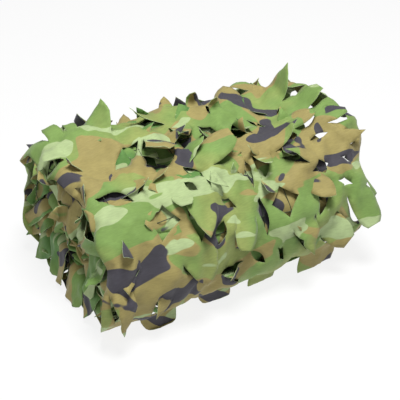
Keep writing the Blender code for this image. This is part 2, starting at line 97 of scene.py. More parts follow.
# A leaf is a tongue of cloth, cut out on all sides but its root. heading is the way it points on
# the flat cloth, in degrees from along towards around. lift is how far it stands up at its root and
# curl how much further it bends to its tip, both in degrees. Lengths are in millimetres here and
# below, up to the stage.
Leaf = namedtuple("Leaf", "name along around heading long wide tip lift curl")
LEAVES = [
    # the back edge of the top, from left to right
    Leaf("end_loop_left", -178, 318, -90, 44, 22, "round", 88, -120),
    Leaf("end_loop_right", -153, 318, -92, 38, 18, "round", 86, -120),
    Leaf("tan_stand", -124, 322, -40, 44, 44, "point", 58, 6),
    Leaf("small_stand", -66, 294, -70, 24, 20, "point", 50, 0),
    Leaf("slate_flap", -28, 322, 176, 50, 34, "point", 14, 6),
    Leaf("tan_tongue", 0, 298, -70, 26, 22, "round", 78, 8),
    Leaf("curl_low", 32, 324, -92, 32, 24, "round", 62, 95),
    Leaf("curl_high", 46, 358, -88, 30, 20, "round", 55, 95),
    Leaf("hill", 82, 336, -72, 34, 42, "round", 20, -8),
    Leaf("arch", 132, 320, -130, 44, 28, "round", 66, -120),
    Leaf("top_point", 148, 352, 6, 48, 42, "point", 66, 8),
    # the top, towards the front
    Leaf("end_flap", -186, 347, 178, 24, 24, "square", 20, 8),
    Leaf("slate_u", -58, 376, 119, 58, 42, "round", 18, 10),
    Leaf("tan_triangle", -12, 352, 106, 54, 32, "point", 16, 4),
    Leaf("tan_leaf", -25, 432, -10, 50, 38, "square", 18, 4),
    Leaf("back_square", 166, 392, 2, 32, 30, "square", 26, 0),
    Leaf("corner_tan", 180, 428, 16, 28, 26, "square", 16, 4),
    Leaf("hump_leaf", 130, 417, 12, 38, 28, "round", 34, -40),
    Leaf("green_star", 76, 439, 0, 54, 36, "point", 22, 6),
    # the front
    Leaf("rolled_leaf", 56, 450, 99, 34, 24, "round", 20, 30),
    Leaf("slate_leaf", -32, 463, 62, 28, 22, "point", 16, 4),
    Leaf("middle_point", -58, 491, 113, 47, 46, "point", 18, 6),
    Leaf("olive_tongue", 118, 476, 196, 36, 22, "point", 20, 6),
    Leaf("strap", -2, 522, 105, 45, 32, "square", 20, 10),
    Leaf("right_round", 193, 466, 2, 28, 22, "point", 16, -6),
    Leaf("right_hang", 182, 536, 76, 56, 40, "square", 14, 12),
    Leaf("star_point", 81, 549, 80, 47, 42, "point", 26, 6),
    Leaf("square_leaf", 126, 570, 44, 45, 42, "square", 18, 6),
    Leaf("envelope", -80, 549, 84, 43, 52, "point", 34, -40),
    Leaf("tan_side", -12, 598, -165, 38, 26, "point", 20, 8),
    # the lower front, down to the floor
    Leaf("corner_long", -190, 560, 95, 66, 32, "point", 30, -14),
    Leaf("green_tip", -128, 590, 128, 34, 24, "point", 22, 10),
    Leaf("foot_left", -132, 628, 90, 54, 54, "round", 58, 20),
    Leaf("foot_small", -40, 634, 90, 48, 50, "round", 58, 18),
    Leaf("foot_middle", 42, 634, 90, 54, 48, "round", 60, 18),
    Leaf("foot_right", 130, 622, 90, 60, 64, "square", 50, 14),
    # the left end
    Leaf("slate_strip", -190, 182, 264, 60, 16, "square", 56, 4),
    Leaf("end_tan", -184, 112, 262, 32, 26, "square", 44, 8),
]

# A slot is a cut that has been pulled open. shape is "lens" or "diamond".
Slot = namedtuple("Slot", "name along around heading long wide shape")
SLOTS = [
    Slot("top_left_arc", -111, 386, 145, 64, 22, "lens"),
    Slot("smile", -161, 449, 24, 48, 22, "lens"),
    Slot("smile_end", -122, 446, -34, 25, 5, "lens"),
    Slot("left_slit", -193, 418, 72, 24, 5, "lens"),
    Slot("olive_window", -114, 498, 112, 49, 42, "diamond"),
    Slot("top_dark", 18, 382, 67, 40, 13, "diamond"),
    Slot("chin_gap", -46, 446, 62, 32, 12, "lens"),
    Slot("chin_low", -62, 468, 65, 20, 8, "lens"),
    Slot("dark_patch", -18, 501, 41, 26, 12, "diamond"),
    Slot("dark_side", -42, 532, 118, 32, 9, "lens"),
    Slot("crevice", 29, 468, 94, 50, 15, "lens"),
    Slot("crevice_low", 27, 531, 93, 51, 12, "lens"),
    Slot("rear_gap", 90, 391, 57, 33, 8, "lens"),
    Slot("rear_slit", 106, 372, 44, 30, 6, "lens"),
    Slot("rear_hollow", 132, 388, 118, 24, 9, "lens"),
    Slot("hump_gap", 156, 452, -4, 32, 9, "lens"),
    Slot("slate_window", 134, 494, -10, 34, 20, "diamond"),
    Slot("see_through", 180, 494, 31, 24, 11, "diamond"),
    Slot("see_low", 163, 523, 30, 24, 10, "diamond"),
    Slot("long_window", 125, 532, 131, 50, 13, "lens"),
    Slot("string_window", 62, 520, 97, 40, 38, "diamond"),
    Slot("strap_gap", 12, 584, 45, 28, 12, "lens"),
    Slot("small_window", 48, 590, 60, 34, 12, "diamond"),
]

# Soft hills on the outer turn: where its layers stand up, how far each hill spreads and how high it
# is. The cloth stands up at a leaf's root too.
Hill = namedtuple("Hill", "along around reach high")
HILLS = [
    Hill(-150, 300, 70, 12),
    Hill(-100, 340, 60, 7),
    Hill(-150, 430, 60, 5),
    Hill(-60, 470, 45, 8),
    Hill(45, 400, 50, 9),
    Hill(60, 300, 60, 4),
    Hill(145, 320, 60, 9),
    Hill(200, 400, 62, 16),
    Hill(110, 500, 60, 6),
    Hill(-90, 580, 55, 9),
    Hill(60, 590, 60, 7),
    Hill(-60, 190, 80, 8),
    Hill(100, 150, 80, 9),
]
ROOT_HILL = 5.0
ROOT_HILL_REACH = 26.0

# The share of its greatest half width that a leaf has at shares of its length.
PROFILES = {
    "round": [(0.0, 1.0), (0.42, 1.02), (0.82, 0.68), (1.0, 0.0)],
    "point": [(0.0, 1.0), (0.38, 0.84), (0.72, 0.44), (1.0, 0.0)],
    "square": [(0.0, 1.0), (0.5, 1.04), (0.88, 0.9), (1.0, 0.55)],
}

# The smooth panel at the left of the top and front, from its lowest to its highest place.
PLAIN_PANEL = ((-220.0, 352.0), (-78.0, 545.0))

# How many degrees steeper than its solid a leaf starts, before it settles, fading out over the
# LOW_RANGE degrees below LOW_LIFT. ROOT_BEND is the length over which a leaf bends up at its root,
# and LEAF_STEPS how many steps its bend is worked out in.
LOOSE_LIFT = 14.0
LOW_LIFT = 45.0
LOW_RANGE = 25.0
ROOT_BEND = 7.0
LEAF_STEPS = 48

# The leaves of the inner turns that hang over the roll's left end. across and high are their root on
# that end, in (y, z), heading is the way they hang there, in degrees from +y towards +z, and stand is
# how far they hang in front of the inner turns. curl turns the tip outwards, in degrees.
EndLeaf = namedtuple("EndLeaf", "across high heading long wide tip stand curl")
END_LEAVES = [
    EndLeaf(6, 118, -84, 78, 46, "square", 4, 4),
    EndLeaf(64, 112, -66, 82, 62, "square", 10, -6),
    EndLeaf(38, 74, -92, 60, 56, "square", 16, 16),
    EndLeaf(98, 128, -44, 64, 24, "square", 14, 20),
    EndLeaf(84, 104, -46, 70, 22, "square", 19, 26),
    EndLeaf(92, 82, -52, 62, 36, "point", 16, 24),
    EndLeaf(84, 44, -58, 48, 42, "point", 12, 34),
    EndLeaf(-34, 104, -98, 74, 34, "round", 9, 10),
    EndLeaf(-62, 112, -92, 62, 26, "square", 13, 22),
    EndLeaf(-88, 92, -96, 62, 32, "round", 10, 12),
    EndLeaf(-64, 58, -84, 46, 42, "point", 13, 30),
    EndLeaf(-20, 52, -78, 44, 46, "square", 14, 22),
    EndLeaf(70, 158, 48, 52, 28, "square", 6, 150),
    EndLeaf(36, 150, 62, 46, 24, "square", 2, 160),
]

# How far apart a hanging leaf's points are, how much of it lies inside the roll, and by how many
# degrees it bends over the roll's edge.
END_LEAF_STEP = 3.2
END_LEAF_INSIDE = 16.0
END_LEAF_BEND = 88.0

# On the flat cloth the hanging leaves lie in a strip beside the inner turns: where the first is, how
# far apart they are, how far off the strip is, and the share of its box that a leaf fills.
END_LEAF_FIRST = 60.0
END_LEAF_PITCH = 96.0
END_LEAF_APART = 40.0
END_LEAF_FILL = 0.85

# The leaves in rows up the back of the roll.
BACK_ROWS = (80.0, 138.0, 196.0)
BACK_COLUMNS = (-132.0, -66.0, 0.0, 66.0, 132.0)
BACK_SEED = 7

# The ties that hold the cloth to its strings, in staggered rows: their pitch, how near a point is
# to be held by one, how far from under the roll's middle the rows start and end, and how far to the
# right they reach. All of the cloth nearer than HELD_UNDER to under the roll's middle is held.
TIE_PITCH = 80.0
TIE_REACH = 9.0
TIE_START = 96.0
TIE_END = 80.0
TIE_RIGHT = 215.0
HELD_UNDER = 46.0

# Blender's cloth solver can't settle a cloth this small, so it works on one of 10 times its size.
# The gaps that cloth and body keep are in the solver's own metres.
SOLVER_SCALE = 10.0 * MM
SOLVER = {
    "quality": 4,
    "mass": 0.05,
    "tension_stiffness": 12.0,
    "compression_stiffness": 12.0,
    "shear_stiffness": 4.0,
    "bending_stiffness": 0.6,
    "air_damping": 4.0,
    "pin_stiffness": 1.0,
}
SOLVER_GAP = 0.012
CORE_GAP = 0.02

# How a cut cloth settles: how deep the body lies that it settles on, the share of the outer turn's
# hills that this body has, the share by which the cloth is longer than its smooth course, how many
# frames it settles for, and how far a point may move. The body reaches from BAND_LEFT to CORE_RIGHT.
Settling = namedtuple("Settling", "depth raised slack frames most")
OUTER_SETTLING = Settling(8.5, 0.75, 0.04, 30, 12.0)
UNDER_SETTLING = Settling(14.0, 0.55, 0.08, 25, 10.0)
CORE_RIGHT = 176.0
CORE_STATIONS = 46
CORE_ROUNDS = 108

# Leaves that are scattered over a cut cloth: their seed, the ranges of their length, width, lift and
# curl, and how far they stay clear of the other cuts. UNDER_LEAVES is how many the under ply has.
Scatter = namedtuple("Scatter", "seed longs wides lifts curls clear")
OUTER_SCATTER = Scatter(11, (24, 44), (20, 36), (20, 80), (-60, 60), 7.0)
UNDER_SCATTER = Scatter(23, (34, 52), (26, 40), (10, 44), (-30, 40), 6.0)
UNDER_LEAVES = 130

# How often a leaf is tried for each that is wanted, the steps of the outlines that it is held
# against, and how near these have to be to count.
LEAF_TRIES = 40
FINE_STEP = 3.0
COARSE_STEP = 6.0
NEAR_LEAF = 80.0

# The slits round the leaves, and how much coarser the under ply's points are than the outer turn's.
# A leaf is cupped by a share of its width and twisted by some degrees, each within a range.
OUTER_SLIT = 0.7
UNDER_SLIT = 1.0
UNDER_COARSER = 1.1
CUPS = (-0.10, 0.22)
TWISTS = (-14.0, 14.0)
OUTER_SEED = 5
UNDER_SEED = 9

# The under ply: its ends under the roll, its reach to both sides, and its depth.
UNDER_START = 60.0
UNDER_END = 50.0
UNDER_LEFT = 190.0
UNDER_RIGHT = 152.0
UNDER_DEPTH = 11.0

# The flat cloth's points stand in staggered rows. As shares of the step between them: the rows'
# pitch, how far a point is pushed off its place, and how near a cut it may be.
ROW_PITCH = 0.87
UNEVEN = 0.12
NEAR_CUT = 0.62
GRID_SEED = 3

# The inner turns' plies: how deep each lies within its turn, and where the points of a row are, as
# shares of its length. They are closest near the ends, which show.
PLY_DEPTHS = (1.5, 5.5, 9.5, 13.5)
PLY_SHARES = np.concatenate(
    [np.linspace(0.0, 0.22, 7), np.linspace(0.30, 0.70, 5), np.linspace(0.76, 1.0, 10)]
)

# How far apart the rows are, how much of the inner turns lies within the outer turn's last stretch,
# how far the fold between two plies stands out past their ends, the range of their depth, the depth
# towards which the rows close up, and the greatest depth that their flat length counts.
PLY_STEP = 7.0
PLY_OVERLAP = 40.0
HAIRPIN_REACH = 2.4
PLY_RANGE = (6.0, 96.5)
MIDDLE_DEPTH = 110.0
DEEPEST_TURN = 92.0

# How far above the floor a point of cloth lies at least, and one of a hanging leaf.
FLOOR_GAP = 0.6
END_FLOOR_GAP = 1.2

# Where each sheet's print starts on the endless pattern.
OUTER_TURN_PRINT = (0.0, 0.0)
UNDER_PLY_PRINT = (900.0, 300.0)
INNER_TURNS_PRINT = (2000.0, 0.0)

# The strings: where they run, how far apart their points are, and a knot's radius as a multiple of
# the string's.
STRINGS_LEFT = -210.0
STRINGS_RIGHT = 150.0
STRINGS_START = 96.0
STRINGS_END = 90.0
STRING_STEP = 8.0
KNOT_SHARE = 2.2
KNOT_SEED = 4

# The print: each tone lies over those before it, where its mask passes its threshold. The first
# mask is a noise, and the others mix the share own of a noise of theirs with the first one, or with
# its opposite. start is where the noise starts, and long and wide are the size of its blobs.
Tone = namedtuple("Tone", "name start long wide own opposite threshold")
TONES = (
    Tone("tan", (18.0, 11.0, 0.0), 112.0, 72.0, 1.0, False, 0.530),
    Tone("sage", (18.0, 3.0, 0.0), 95.0, 40.0, 0.62, True, 0.585),
    Tone("slate", (0.0, 9.0, 0.0), 70.0, 50.0, 0.60, False, 0.600),
)
PRINT_EDGE = 0.004

# The drawn weave's threads, and the slubs along them.
WEAVE = 1.2
SLUB_LONG = 9.0
SLUB_WIDE = 1.6

# The stage, in metres, degrees and watts: the floor's half width, its own grey and its glow, the
# sky's strength, each softbox's name, place, width and power, and the camera.
FLOOR_HALF = 6.0
FLOOR_GREY = 0.14
FLOOR_GLOW = 0.84
SKY_STRENGTH = 0.22
SOFTBOXES = (
    ("key_softbox", (0.0, -0.36, 2.1), 0.7, 50.0),
    ("fill_softbox", (-1.2, -0.9, 1.5), 1.2, 4.0),
)
CAMERA_TARGET = (0.003, 0.0, 0.092)
CAMERA_TURN = -31.0
CAMERA_RISE = 33.0
CAMERA_AWAY = 1.3
CAMERA_ANGLE = 25.0


# ---------------------------------------------------------------------------- the roll's surface


def mix(low, high, share):
    """The value that is a share of the way from low to high."""
    return low + (high - low) * share


def soft_step(share):
    """0 below 0, 1 above 1, and a smooth rise between them."""
    share = np.clip(share, 0.0, 1.0)
    return share * share * (3.0 - 2.0 * share)


def ramp(value, start, over):
    """A smooth rise from 0, where value is start, to 1, where it is over further on."""
    return soft_step((value - start) / over)


def bell(value, middle, reach):
    """1 where value is middle, falling off smoothly to both sides."""
    return np.exp(-(((value - middle) / reach) ** 2))


def running(steps):
    """The running total of these steps, from 0."""
    return np.concatenate([[0.0], np.cumsum(steps)])


def section_table():
    """(places, girth) of the roll's outer section, evenly spaced from under its middle."""
    turn = 2.0 * np.pi * np.arange(SECTION_STEPS + 1) / SECTION_STEPS - np.pi / 2.0
    power = 2.0 / ROLL_SQUARENESS
    across = np.sign(np.cos(turn)) * np.abs(np.cos(turn)) ** power
    up = np.sign(np.sin(turn)) * np.abs(np.sin(turn)) ** power
    high = ROLL_TALL / 2.0 * (1.0 + up)
    high += ROLL_LEAN * ROLL_DEEP / 2.0 * across * high / ROLL_TALL - ROLL_SAG
    drawn = np.stack([ROLL_DEEP / 2.0 * across, np.maximum(high, 0.0)], axis=1)
    reached = running(np.linalg.norm(np.diff(drawn, axis=0), axis=1))
    wanted = reached[-1] * np.arange(SECTION_STEPS) / SECTION_STEPS
    even = [np.interp(wanted, reached, drawn[:, axis]) for axis in (0, 1)]
    return np.stack(even, axis=1), reached[-1]


SECTION, GIRTH = section_table()


def section(around):
    """The outer section's places (y, z) and outward normals (y, z) at distances around the roll. A
    normal is square to the run of 13 steps of the section."""
    step = np.mod(around, GIRTH) / GIRTH * SECTION_STEPS
    index = step.astype(int)
    share = (step - index)[:, None]
    place = mix(SECTION[index % SECTION_STEPS], SECTION[(index + 1) % SECTION_STEPS], share)
    run = SECTION[(index + 7) % SECTION_STEPS] - SECTION[(index - 6) % SECTION_STEPS]
    run /= np.linalg.norm(run, axis=1)[:, None]
    return place, np.stack([run[:, 1], -run[:, 0]], axis=1)


def from_under(around):
    """How far a place of the outer turn is from under the roll's middle, by the shorter way."""
    return np.minimum(around, GIRTH - around)


def crumple(along, around):
    """How far every layer is pushed in or out by the folds that gather towards the left end."""
    wave = np.sin(around / 15.0 + 0.8) + 0.6 * np.sin(around / 27.0)
    lifted = ramp(from_under(np.mod(around, GIRTH)), 40.0, 60.0)
    return CRUMPLE * wave * lifted * ramp(-along, 150.0, 60.0)


def bulge(around):
    """The share by which the roll's left end stands out: all of it low down, and none at the top."""
    return 0.5 + 0.5 * np.cos(2.0 * np.pi * (around - 20.0) / GIRTH)


def full_tuck(around):
    """The tuck by which cloth bends in fully over the left end, for all that the end bulges."""
    return 1.0 / np.maximum(1.0 - bulge(around), 0.02)


def flare(around):
    """The share by which the outer turn's right border stands out instead of bending in."""
    return 0.9 * bell(around, 458.0, 26.0) + 0.35 * bell(around, 560.0, 50.0)


def on_roll(along, around, depth=0.0, rise=0.0, tuck=1.0):
    """The places in space, in millimetres, of points of cloth. depth is how far they lie inside the
    roll's outer surface, and rise how far they stand out again, square to that surface. tuck is the
    share of the cloth past the straight part that bends in over the roll's end."""
    along, around, depth, rise, tuck = (
        np.array(value, float) for value in np.broadcast_arrays(along, around, depth, rise, tuck)
    )
    rise += crumple(along, around) * (1.0 - depth / (ROLL_TALL / 2.0))
    place, out = section(around)
    straight_part = np.where(along > 0.0, STRAIGHT_RIGHT, STRAIGHT_LEFT)
    tuck *= 1.0 - np.where(along > 0.0, flare(around), bulge(around))
    past = np.maximum(np.abs(along) - straight_part, 0.0)
    bend = np.minimum(past * tuck / END_ROUNDING, np.pi / 2.0)
    inside = depth * np.cos(bend) + END_ROUNDING * (1.0 - np.cos(bend))
    inside += np.maximum(past * tuck - END_ROUNDING * np.pi / 2.0, 0.0)
    middle = (ROLL_TALL - ROLL_SAG) / 2.0
    across = place[:, 0] * (1.0 - inside / (ROLL_DEEP / 2.0))
    high = middle + (place[:, 1] - middle) * (1.0 - inside / (ROLL_TALL / 2.0))
    straight = np.minimum(np.abs(along), straight_part) + past * (1.0 - tuck)
    straight += (END_ROUNDING - depth + rise) * np.sin(bend)
    stands = rise * np.cos(bend)
    return np.stack(
        [
            np.copysign(straight, along),
            across + out[:, 0] * stands,
            np.maximum(high + out[:, 1] * stands, depth),
        ],
        axis=1,
    )


def hills_at(along, around):
    """How far the outer turn stands out from the roll's outer surface, as its solid does."""
    high = 1.6 + 1.6 * np.sin(along / 23.0 + around / 31.0)
    roots = [Hill(leaf.along, leaf.around, ROOT_HILL_REACH, ROOT_HILL) for leaf in CUT_LEAVES]
    for hill in HILLS + roots:
        away = (along - hill.along) ** 2 + (around - hill.around) ** 2
        high += hill.high * np.exp(-away / hill.reach**2)
    return high * ramp(from_under(around), 70.0, 60.0)


def folds(along, around, seed, long, across, turn):
    """Soft folds, from -1 to 1: noise drawn out to the length long along the direction turn."""
    turn = math.radians(turn)
    forward = (along * math.cos(turn) + around * math.sin(turn)) / long
    aside = (-along * math.sin(turn) + around * math.cos(turn)) / across
    return np.array([noise.noise(Vector((f, a, seed))) for f, a in zip(forward, aside)])


def creases(along, around, seed, long, across, turn):
    """Sharp-topped creases, from 0 to 1, along the direction turn."""
    return (1.0 - np.abs(folds(along, around, seed, long, across, turn))) ** 4


def wrinkles(along, around, seed):
    """How far loose cloth stands off its smooth course: broad folds, small ones and creases."""
    high = 4.2 * folds(along, around, seed, 120.0, 42.0, 62.0)
    high += 2.2 * folds(along, around, seed + 5.0, 46.0, 20.0, 115.0)
    high += 1.5 * creases(along, around, seed + 9.0, 90.0, 34.0, 40.0)
    high += 0.8 * folds(along, around, seed + 13.0, 16.0, 9.0, 80.0)
    return high * ramp(from_under(around), 30.0, 60.0)


# ---------------------------------------------------------------------------- cutting the cloth


def back_leaves():
    """Leaves in staggered rows up the back of the roll, each turned and sized a little differently."""
    uneven = random.Random(BACK_SEED)
    made = []
    for row, around in enumerate(BACK_ROWS):
        for column, along in enumerate(BACK_COLUMNS):
            heading = 90.0 if (row + column) % 2 else -90.0
            reach = 20.0 if heading > 0 else -20.0
            made.append(
                Leaf(
                    f"back_{row}_{column}",
                    along + uneven.uniform(-6, 6),
                    around - reach + uneven.uniform(-3, 3),
                    heading + uneven.uniform(-16, 16),
                    uneven.uniform(38, 44),
                    uneven.uniform(38, 46),
                    uneven.choice(("round", "point", "square")),
                    uneven.uniform(14, 40),
                    uneven.uniform(-20, 30),
                )
            )
    return made


CUT_LEAVES = LEAVES + back_leaves()


def flat_places(piece, forward, aside):
    """Where points of a leaf or slot, measured from its root, are on the flat cloth."""
    turn = math.radians(piece.heading)
    forward, aside = np.asarray(forward, float), np.asarray(aside, float)
    return np.stack(
        [
            piece.along + forward * math.cos(turn) - aside * math.sin(turn),
            piece.around + forward * math.sin(turn) + aside * math.cos(turn),
        ],
        axis=-1,
    )


def rounded_profile(tip, count):
    """A leaf's half width, as a share of its greatest, at count even shares of its length."""
    shares = np.linspace(0.0, 1.0, count)
    knots = np.array(PROFILES[tip])
    half = np.interp(shares, knots[:, 0], knots[:, 1])
    for _ in range(2):
        half[1:-1] = (half[:-2] + 2.0 * half[1:-1] + half[2:]) / 4.0
    return shares, half


def leaf_side(leaf, clear, step):
    """One side of a leaf's outline, from its root to its tip, as (forward, aside)."""
    shares, half = rounded_profile(leaf.tip, max(5, round(leaf.long / step)))
    forward = shares * (leaf.long - clear)
    wavy = 0.5 * np.sin(shares * 9.0 + leaf.along) * np.sin(shares * math.pi)
    aside = half * leaf.wide / 2.0 + wavy - np.where(shares > 0.0, clear, 0.0)
    return np.stack([forward, np.where(aside > 0.01, aside, 0.0)], axis=1)


def leaf_outline(leaf, clear, step):
    """The leaf's outline from its root round its tip and back, on the flat cloth. clear is how far
    the outline stays inside the cut."""
    side = leaf_side(leaf, clear, step)
    far = side[side[:, 1] > 0.0][::-1] * (1.0, -1.0)
    whole = np.concatenate([side, far])
    return flat_places(leaf, whole[:, 0], whole[:, 1])


def root_line(leaf, step):
    """Points across a leaf's root, from one side of it to the other, without the two ends."""
    count = max(2, round(leaf.wide / step))
    aside = np.linspace(-leaf.wide / 2.0, leaf.wide / 2.0, count + 1)[1:-1]
    return flat_places(leaf, np.zeros_like(aside), aside)


def slot_outline(slot, step):
    """The slot's outline on the flat cloth, with the diamond's sides drawn in a little."""
    half, wide = slot.long / 2.0, slot.wide / 2.0
    count = max(4, round(slot.long / step))
    if slot.shape == "diamond":
        corners = [(half, 0.0), (half * 0.1, wide), (-half, wide * 0.1), (-half * 0.2, -wide)]
        corners = np.array(corners)
        sides = zip(corners, np.roll(corners, -1, axis=0))
        per_side = max(3, count // 2)
        points = np.array(
            [
                mix(a, b, k / per_side) * (1.0 - 0.1 * math.sin(math.pi * k / per_side))
                for a, b in sides
                for k in range(per_side)
            ]
        )
    else:
        share = np.linspace(1.0, -1.0, count + 1)
        upper = np.stack([half * share, wide * np.cos(share * math.pi / 2.0)], axis=1)
        upper[[0, -1], 1] = 0.0
        points = np.concatenate([upper, (upper[1:-1] * (1.0, -1.0))[::-1]])
    return flat_places(slot, points[:, 0], points[:, 1])


def is_inside(points, outline):
    """Which points of the flat cloth are inside a closed outline."""
    found = np.zeros(len(points), bool)
    low, high = outline.min(axis=0), outline.max(axis=0)
    near = np.nonzero(((points >= low) & (points <= high)).all(axis=1))[0]
    x, y = points[near].T
    crossed = np.zeros(len(near), bool)
    for (x0, y0), (x1, y1) in zip(outline, np.roll(outline, -1, axis=0)):
        if y0 == y1:
            continue
        between = (y0 > y) != (y1 > y)
        crossed ^= between & (x < x0 + (x1 - x0) * (y - y0) / (y1 - y0))
    found[near] = crossed
    return found


class CutCloth:
    """A flat sheet with its leaves and slots cut: points, triangles, and the leaf of each point."""

    def __init__(self, border, leaves, slots, step, slit):
        self.leaves = leaves
        cuts = [leaf_outline(leaf, 0.0, step) for leaf in leaves]
        tongues = [leaf_outline(leaf, slit, step) for leaf in leaves]
        holes = [slot_outline(slot, step) for slot in slots]
        points, edges, owner = [], [], []

        def add(places, number=-1):
            first = len(points)
            points.extend(places.tolist())
            owner.extend([number] * len(places))
            return list(range(first, len(points)))

        def loop(indices):
            edges.extend(zip(indices, indices[1:] + indices[:1]))

        # the border and every cut, as edges that the triangles keep
        loop(add(border))
        for number, (leaf, cut, tongue) in enumerate(zip(leaves, cuts, tongues)):
            kept = add(cut)
            root = add(root_line(leaf, step))
            loop(kept + root)
            free = add(tongue[1:-1], number)
            edges.extend(zip([kept[0], *free], [*free, kept[-1]]))
        for hole in holes:
            loop(add(hole))
        # the points between them, and the leaf that each belongs to
        taken = KDTree(len(points))
        for index, place in enumerate(points):
            taken.insert((*place, 0.0), index)
        taken.balance()
        grid = self.grid(border, step)
        clear = np.array([taken.find((*place, 0.0))[2] > step * NEAR_CUT for place in grid])
        grid = grid[clear & is_inside(grid, border)]
        of_leaf = np.full(len(grid), -1)
        dropped = np.zeros(len(grid), bool)
        for number, (cut, tongue) in enumerate(zip(cuts, tongues)):
            in_cut, in_tongue = is_inside(grid, cut), is_inside(grid, tongue)
            of_leaf[in_tongue] = number
            dropped |= in_cut & ~in_tongue
        for hole in holes:
            dropped |= is_inside(grid, hole)
        points.extend(grid[~dropped].tolist())
        owner.extend(of_leaf[~dropped].tolist())
        # the triangles, without those in slots and slits and outside the border
        found = delaunay_2d_cdt([Vector(place) for place in points], edges, [], 0, 1e-5)
        if len(found[0]) != len(points):
            raise RuntimeError("two cuts cross on the flat cloth")
        renamed = np.array([names[0] for names in found[3]])
        triangles = renamed[np.array(found[2])]
        self.points, self.owner = np.array(points), np.array(owner)
        middles = self.points[triangles].mean(axis=1)
        kept = is_inside(middles, border)
        for cut, tongue in zip(cuts, tongues):
            kept &= ~is_inside(middles, cut) | is_inside(middles, tongue)
        for hole in holes:
            kept &= ~is_inside(middles, hole)
        self.triangles = triangles[kept]

    @staticmethod
    def grid(border, step):
        """Points in staggered rows over the border's box, each pushed a little off its place."""
        (low_x, low_y), (high_x, high_y) = border.min(axis=0), border.max(axis=0)
        rows = np.arange(low_y, high_y, step * ROW_PITCH)
        uneven = np.random.default_rng(GRID_SEED)
        made = []
        for number, around in enumerate(rows):
            along = np.arange(low_x + (number % 2) * step / 2.0, high_x, step)
            made.append(np.stack([along, np.full_like(along, around)], axis=1))
        made = np.concatenate(made)
        return made + uneven.uniform(-UNEVEN, UNEVEN, made.shape) * step

    def area(self):
        """The area of the flat cloth without its slots, in square millimetres."""
        a, b, c = (self.points[self.triangles[:, k]] for k in range(3))
        one, two = b - a, c - a
        return np.abs(one[:, 0] * two[:, 1] - one[:, 1] * two[:, 0]).sum() / 2.0


def spread_leaves(border, leaves, slots, count, scatter):
    """More leaves, scattered where the flat cloth is free, away from every other cut."""
    uneven = random.Random(scatter.seed)

    def closed(leaf):
        return np.concatenate([leaf_outline(leaf, 0.0, FINE_STEP), root_line(leaf, FINE_STEP)])

    outlines = [leaf_outline(leaf, 0.0, COARSE_STEP) for leaf in leaves]
    outlines += [slot_outline(slot, COARSE_STEP) for slot in slots]
    taken = [border, *(closed(leaf) for leaf in leaves)]
    taken += [slot_outline(slot, FINE_STEP) for slot in slots]
    taken = np.concatenate(taken)
    low, high = border.min(axis=0), border.max(axis=0)
    made = []
    for attempt in range(count * LEAF_TRIES):
        if len(made) == count:
            break
        leaf = Leaf(
            f"spread_{attempt}",
            uneven.uniform(low[0], high[0]),
            uneven.uniform(low[1], high[1]),
            uneven.choice((90.0, -90.0, 20.0, 160.0)) + uneven.uniform(-35, 35),
            uneven.uniform(*scatter.longs),
            uneven.uniform(*scatter.wides),
            uneven.choice(("round", "point", "point", "square")),
            uneven.uniform(*scatter.lifts),
            uneven.uniform(*scatter.curls),
        )
        outline = closed(leaf)
        cut = leaf_outline(leaf, 0.0, COARSE_STEP)
        middle = flat_places(leaf, leaf.long / 2.0, 0.0)
        if not is_inside(outline, border).all():
            continue
        near = taken[np.abs(taken - middle).max(axis=1) < NEAR_LEAF]
        apart = np.linalg.norm(near[:, None] - outline[None], axis=2)
        if apart.size and apart.min() < scatter.clear:
            continue
        if is_inside(near, cut).any() or any(is_inside(middle[None], other)[0] for other in outlines):
            continue
        made.append(leaf)
        outlines.append(cut)
        taken = np.concatenate([taken, outline])
    return made


# ---------------------------------------------------------------------------- laying it on the roll


def lay_leaf(leaf, places, depth, rise_at, tuck, cup, twist):
    """The places in space of a leaf's points: it follows the roll below it, and rises as it bends.
    cup lifts its sides and twist turns its tip."""
    turn = math.radians(leaf.heading)
    run, rise = places[:, 0] - leaf.along, places[:, 1] - leaf.around
    forward = run * math.cos(turn) + rise * math.sin(turn)
    aside = -run * math.sin(turn) + rise * math.cos(turn)
    reached = np.linspace(0.0, leaf.long, LEAF_STEPS + 1)
    between = (reached[1:] + reached[:-1]) / 2.0
    lift = leaf.lift + LOOSE_LIFT * float(soft_step((LOW_LIFT - leaf.lift) / LOW_RANGE))
    slope = lift * (1.0 - np.exp(-between / ROOT_BEND)) + leaf.curl * between / leaf.long
    slope = np.radians(slope)
    each = leaf.long / LEAF_STEPS
    gone = np.interp(forward, reached, running(np.cos(slope) * each))
    up = np.interp(forward, reached, running(np.sin(slope) * each))
    share = np.clip(forward / leaf.long, 0.0, 1.0)
    up = up + cup * share * (2.0 * aside / leaf.wide) ** 2
    up = up + math.tan(math.radians(twist)) * aside * share

    def laid(forward, aside):
        here = flat_places(leaf, forward, aside)
        rise = rise_at(here[:, 0], here[:, 1])
        return on_roll(here[:, 0], here[:, 1], depth, rise, tuck(here[:, 0], here[:, 1]))

    none = np.zeros_like(gone)
    middle = laid(gone / 2.0, none)
    ahead = laid(gone / 2.0 + 1.0, none) - middle
    beside = laid(gone / 2.0, none + 1.0) - middle
    out = -np.cross(ahead, beside)
    out /= np.linalg.norm(out, axis=1)[:, None]
    return laid(gone, aside) + out * up[:, None]


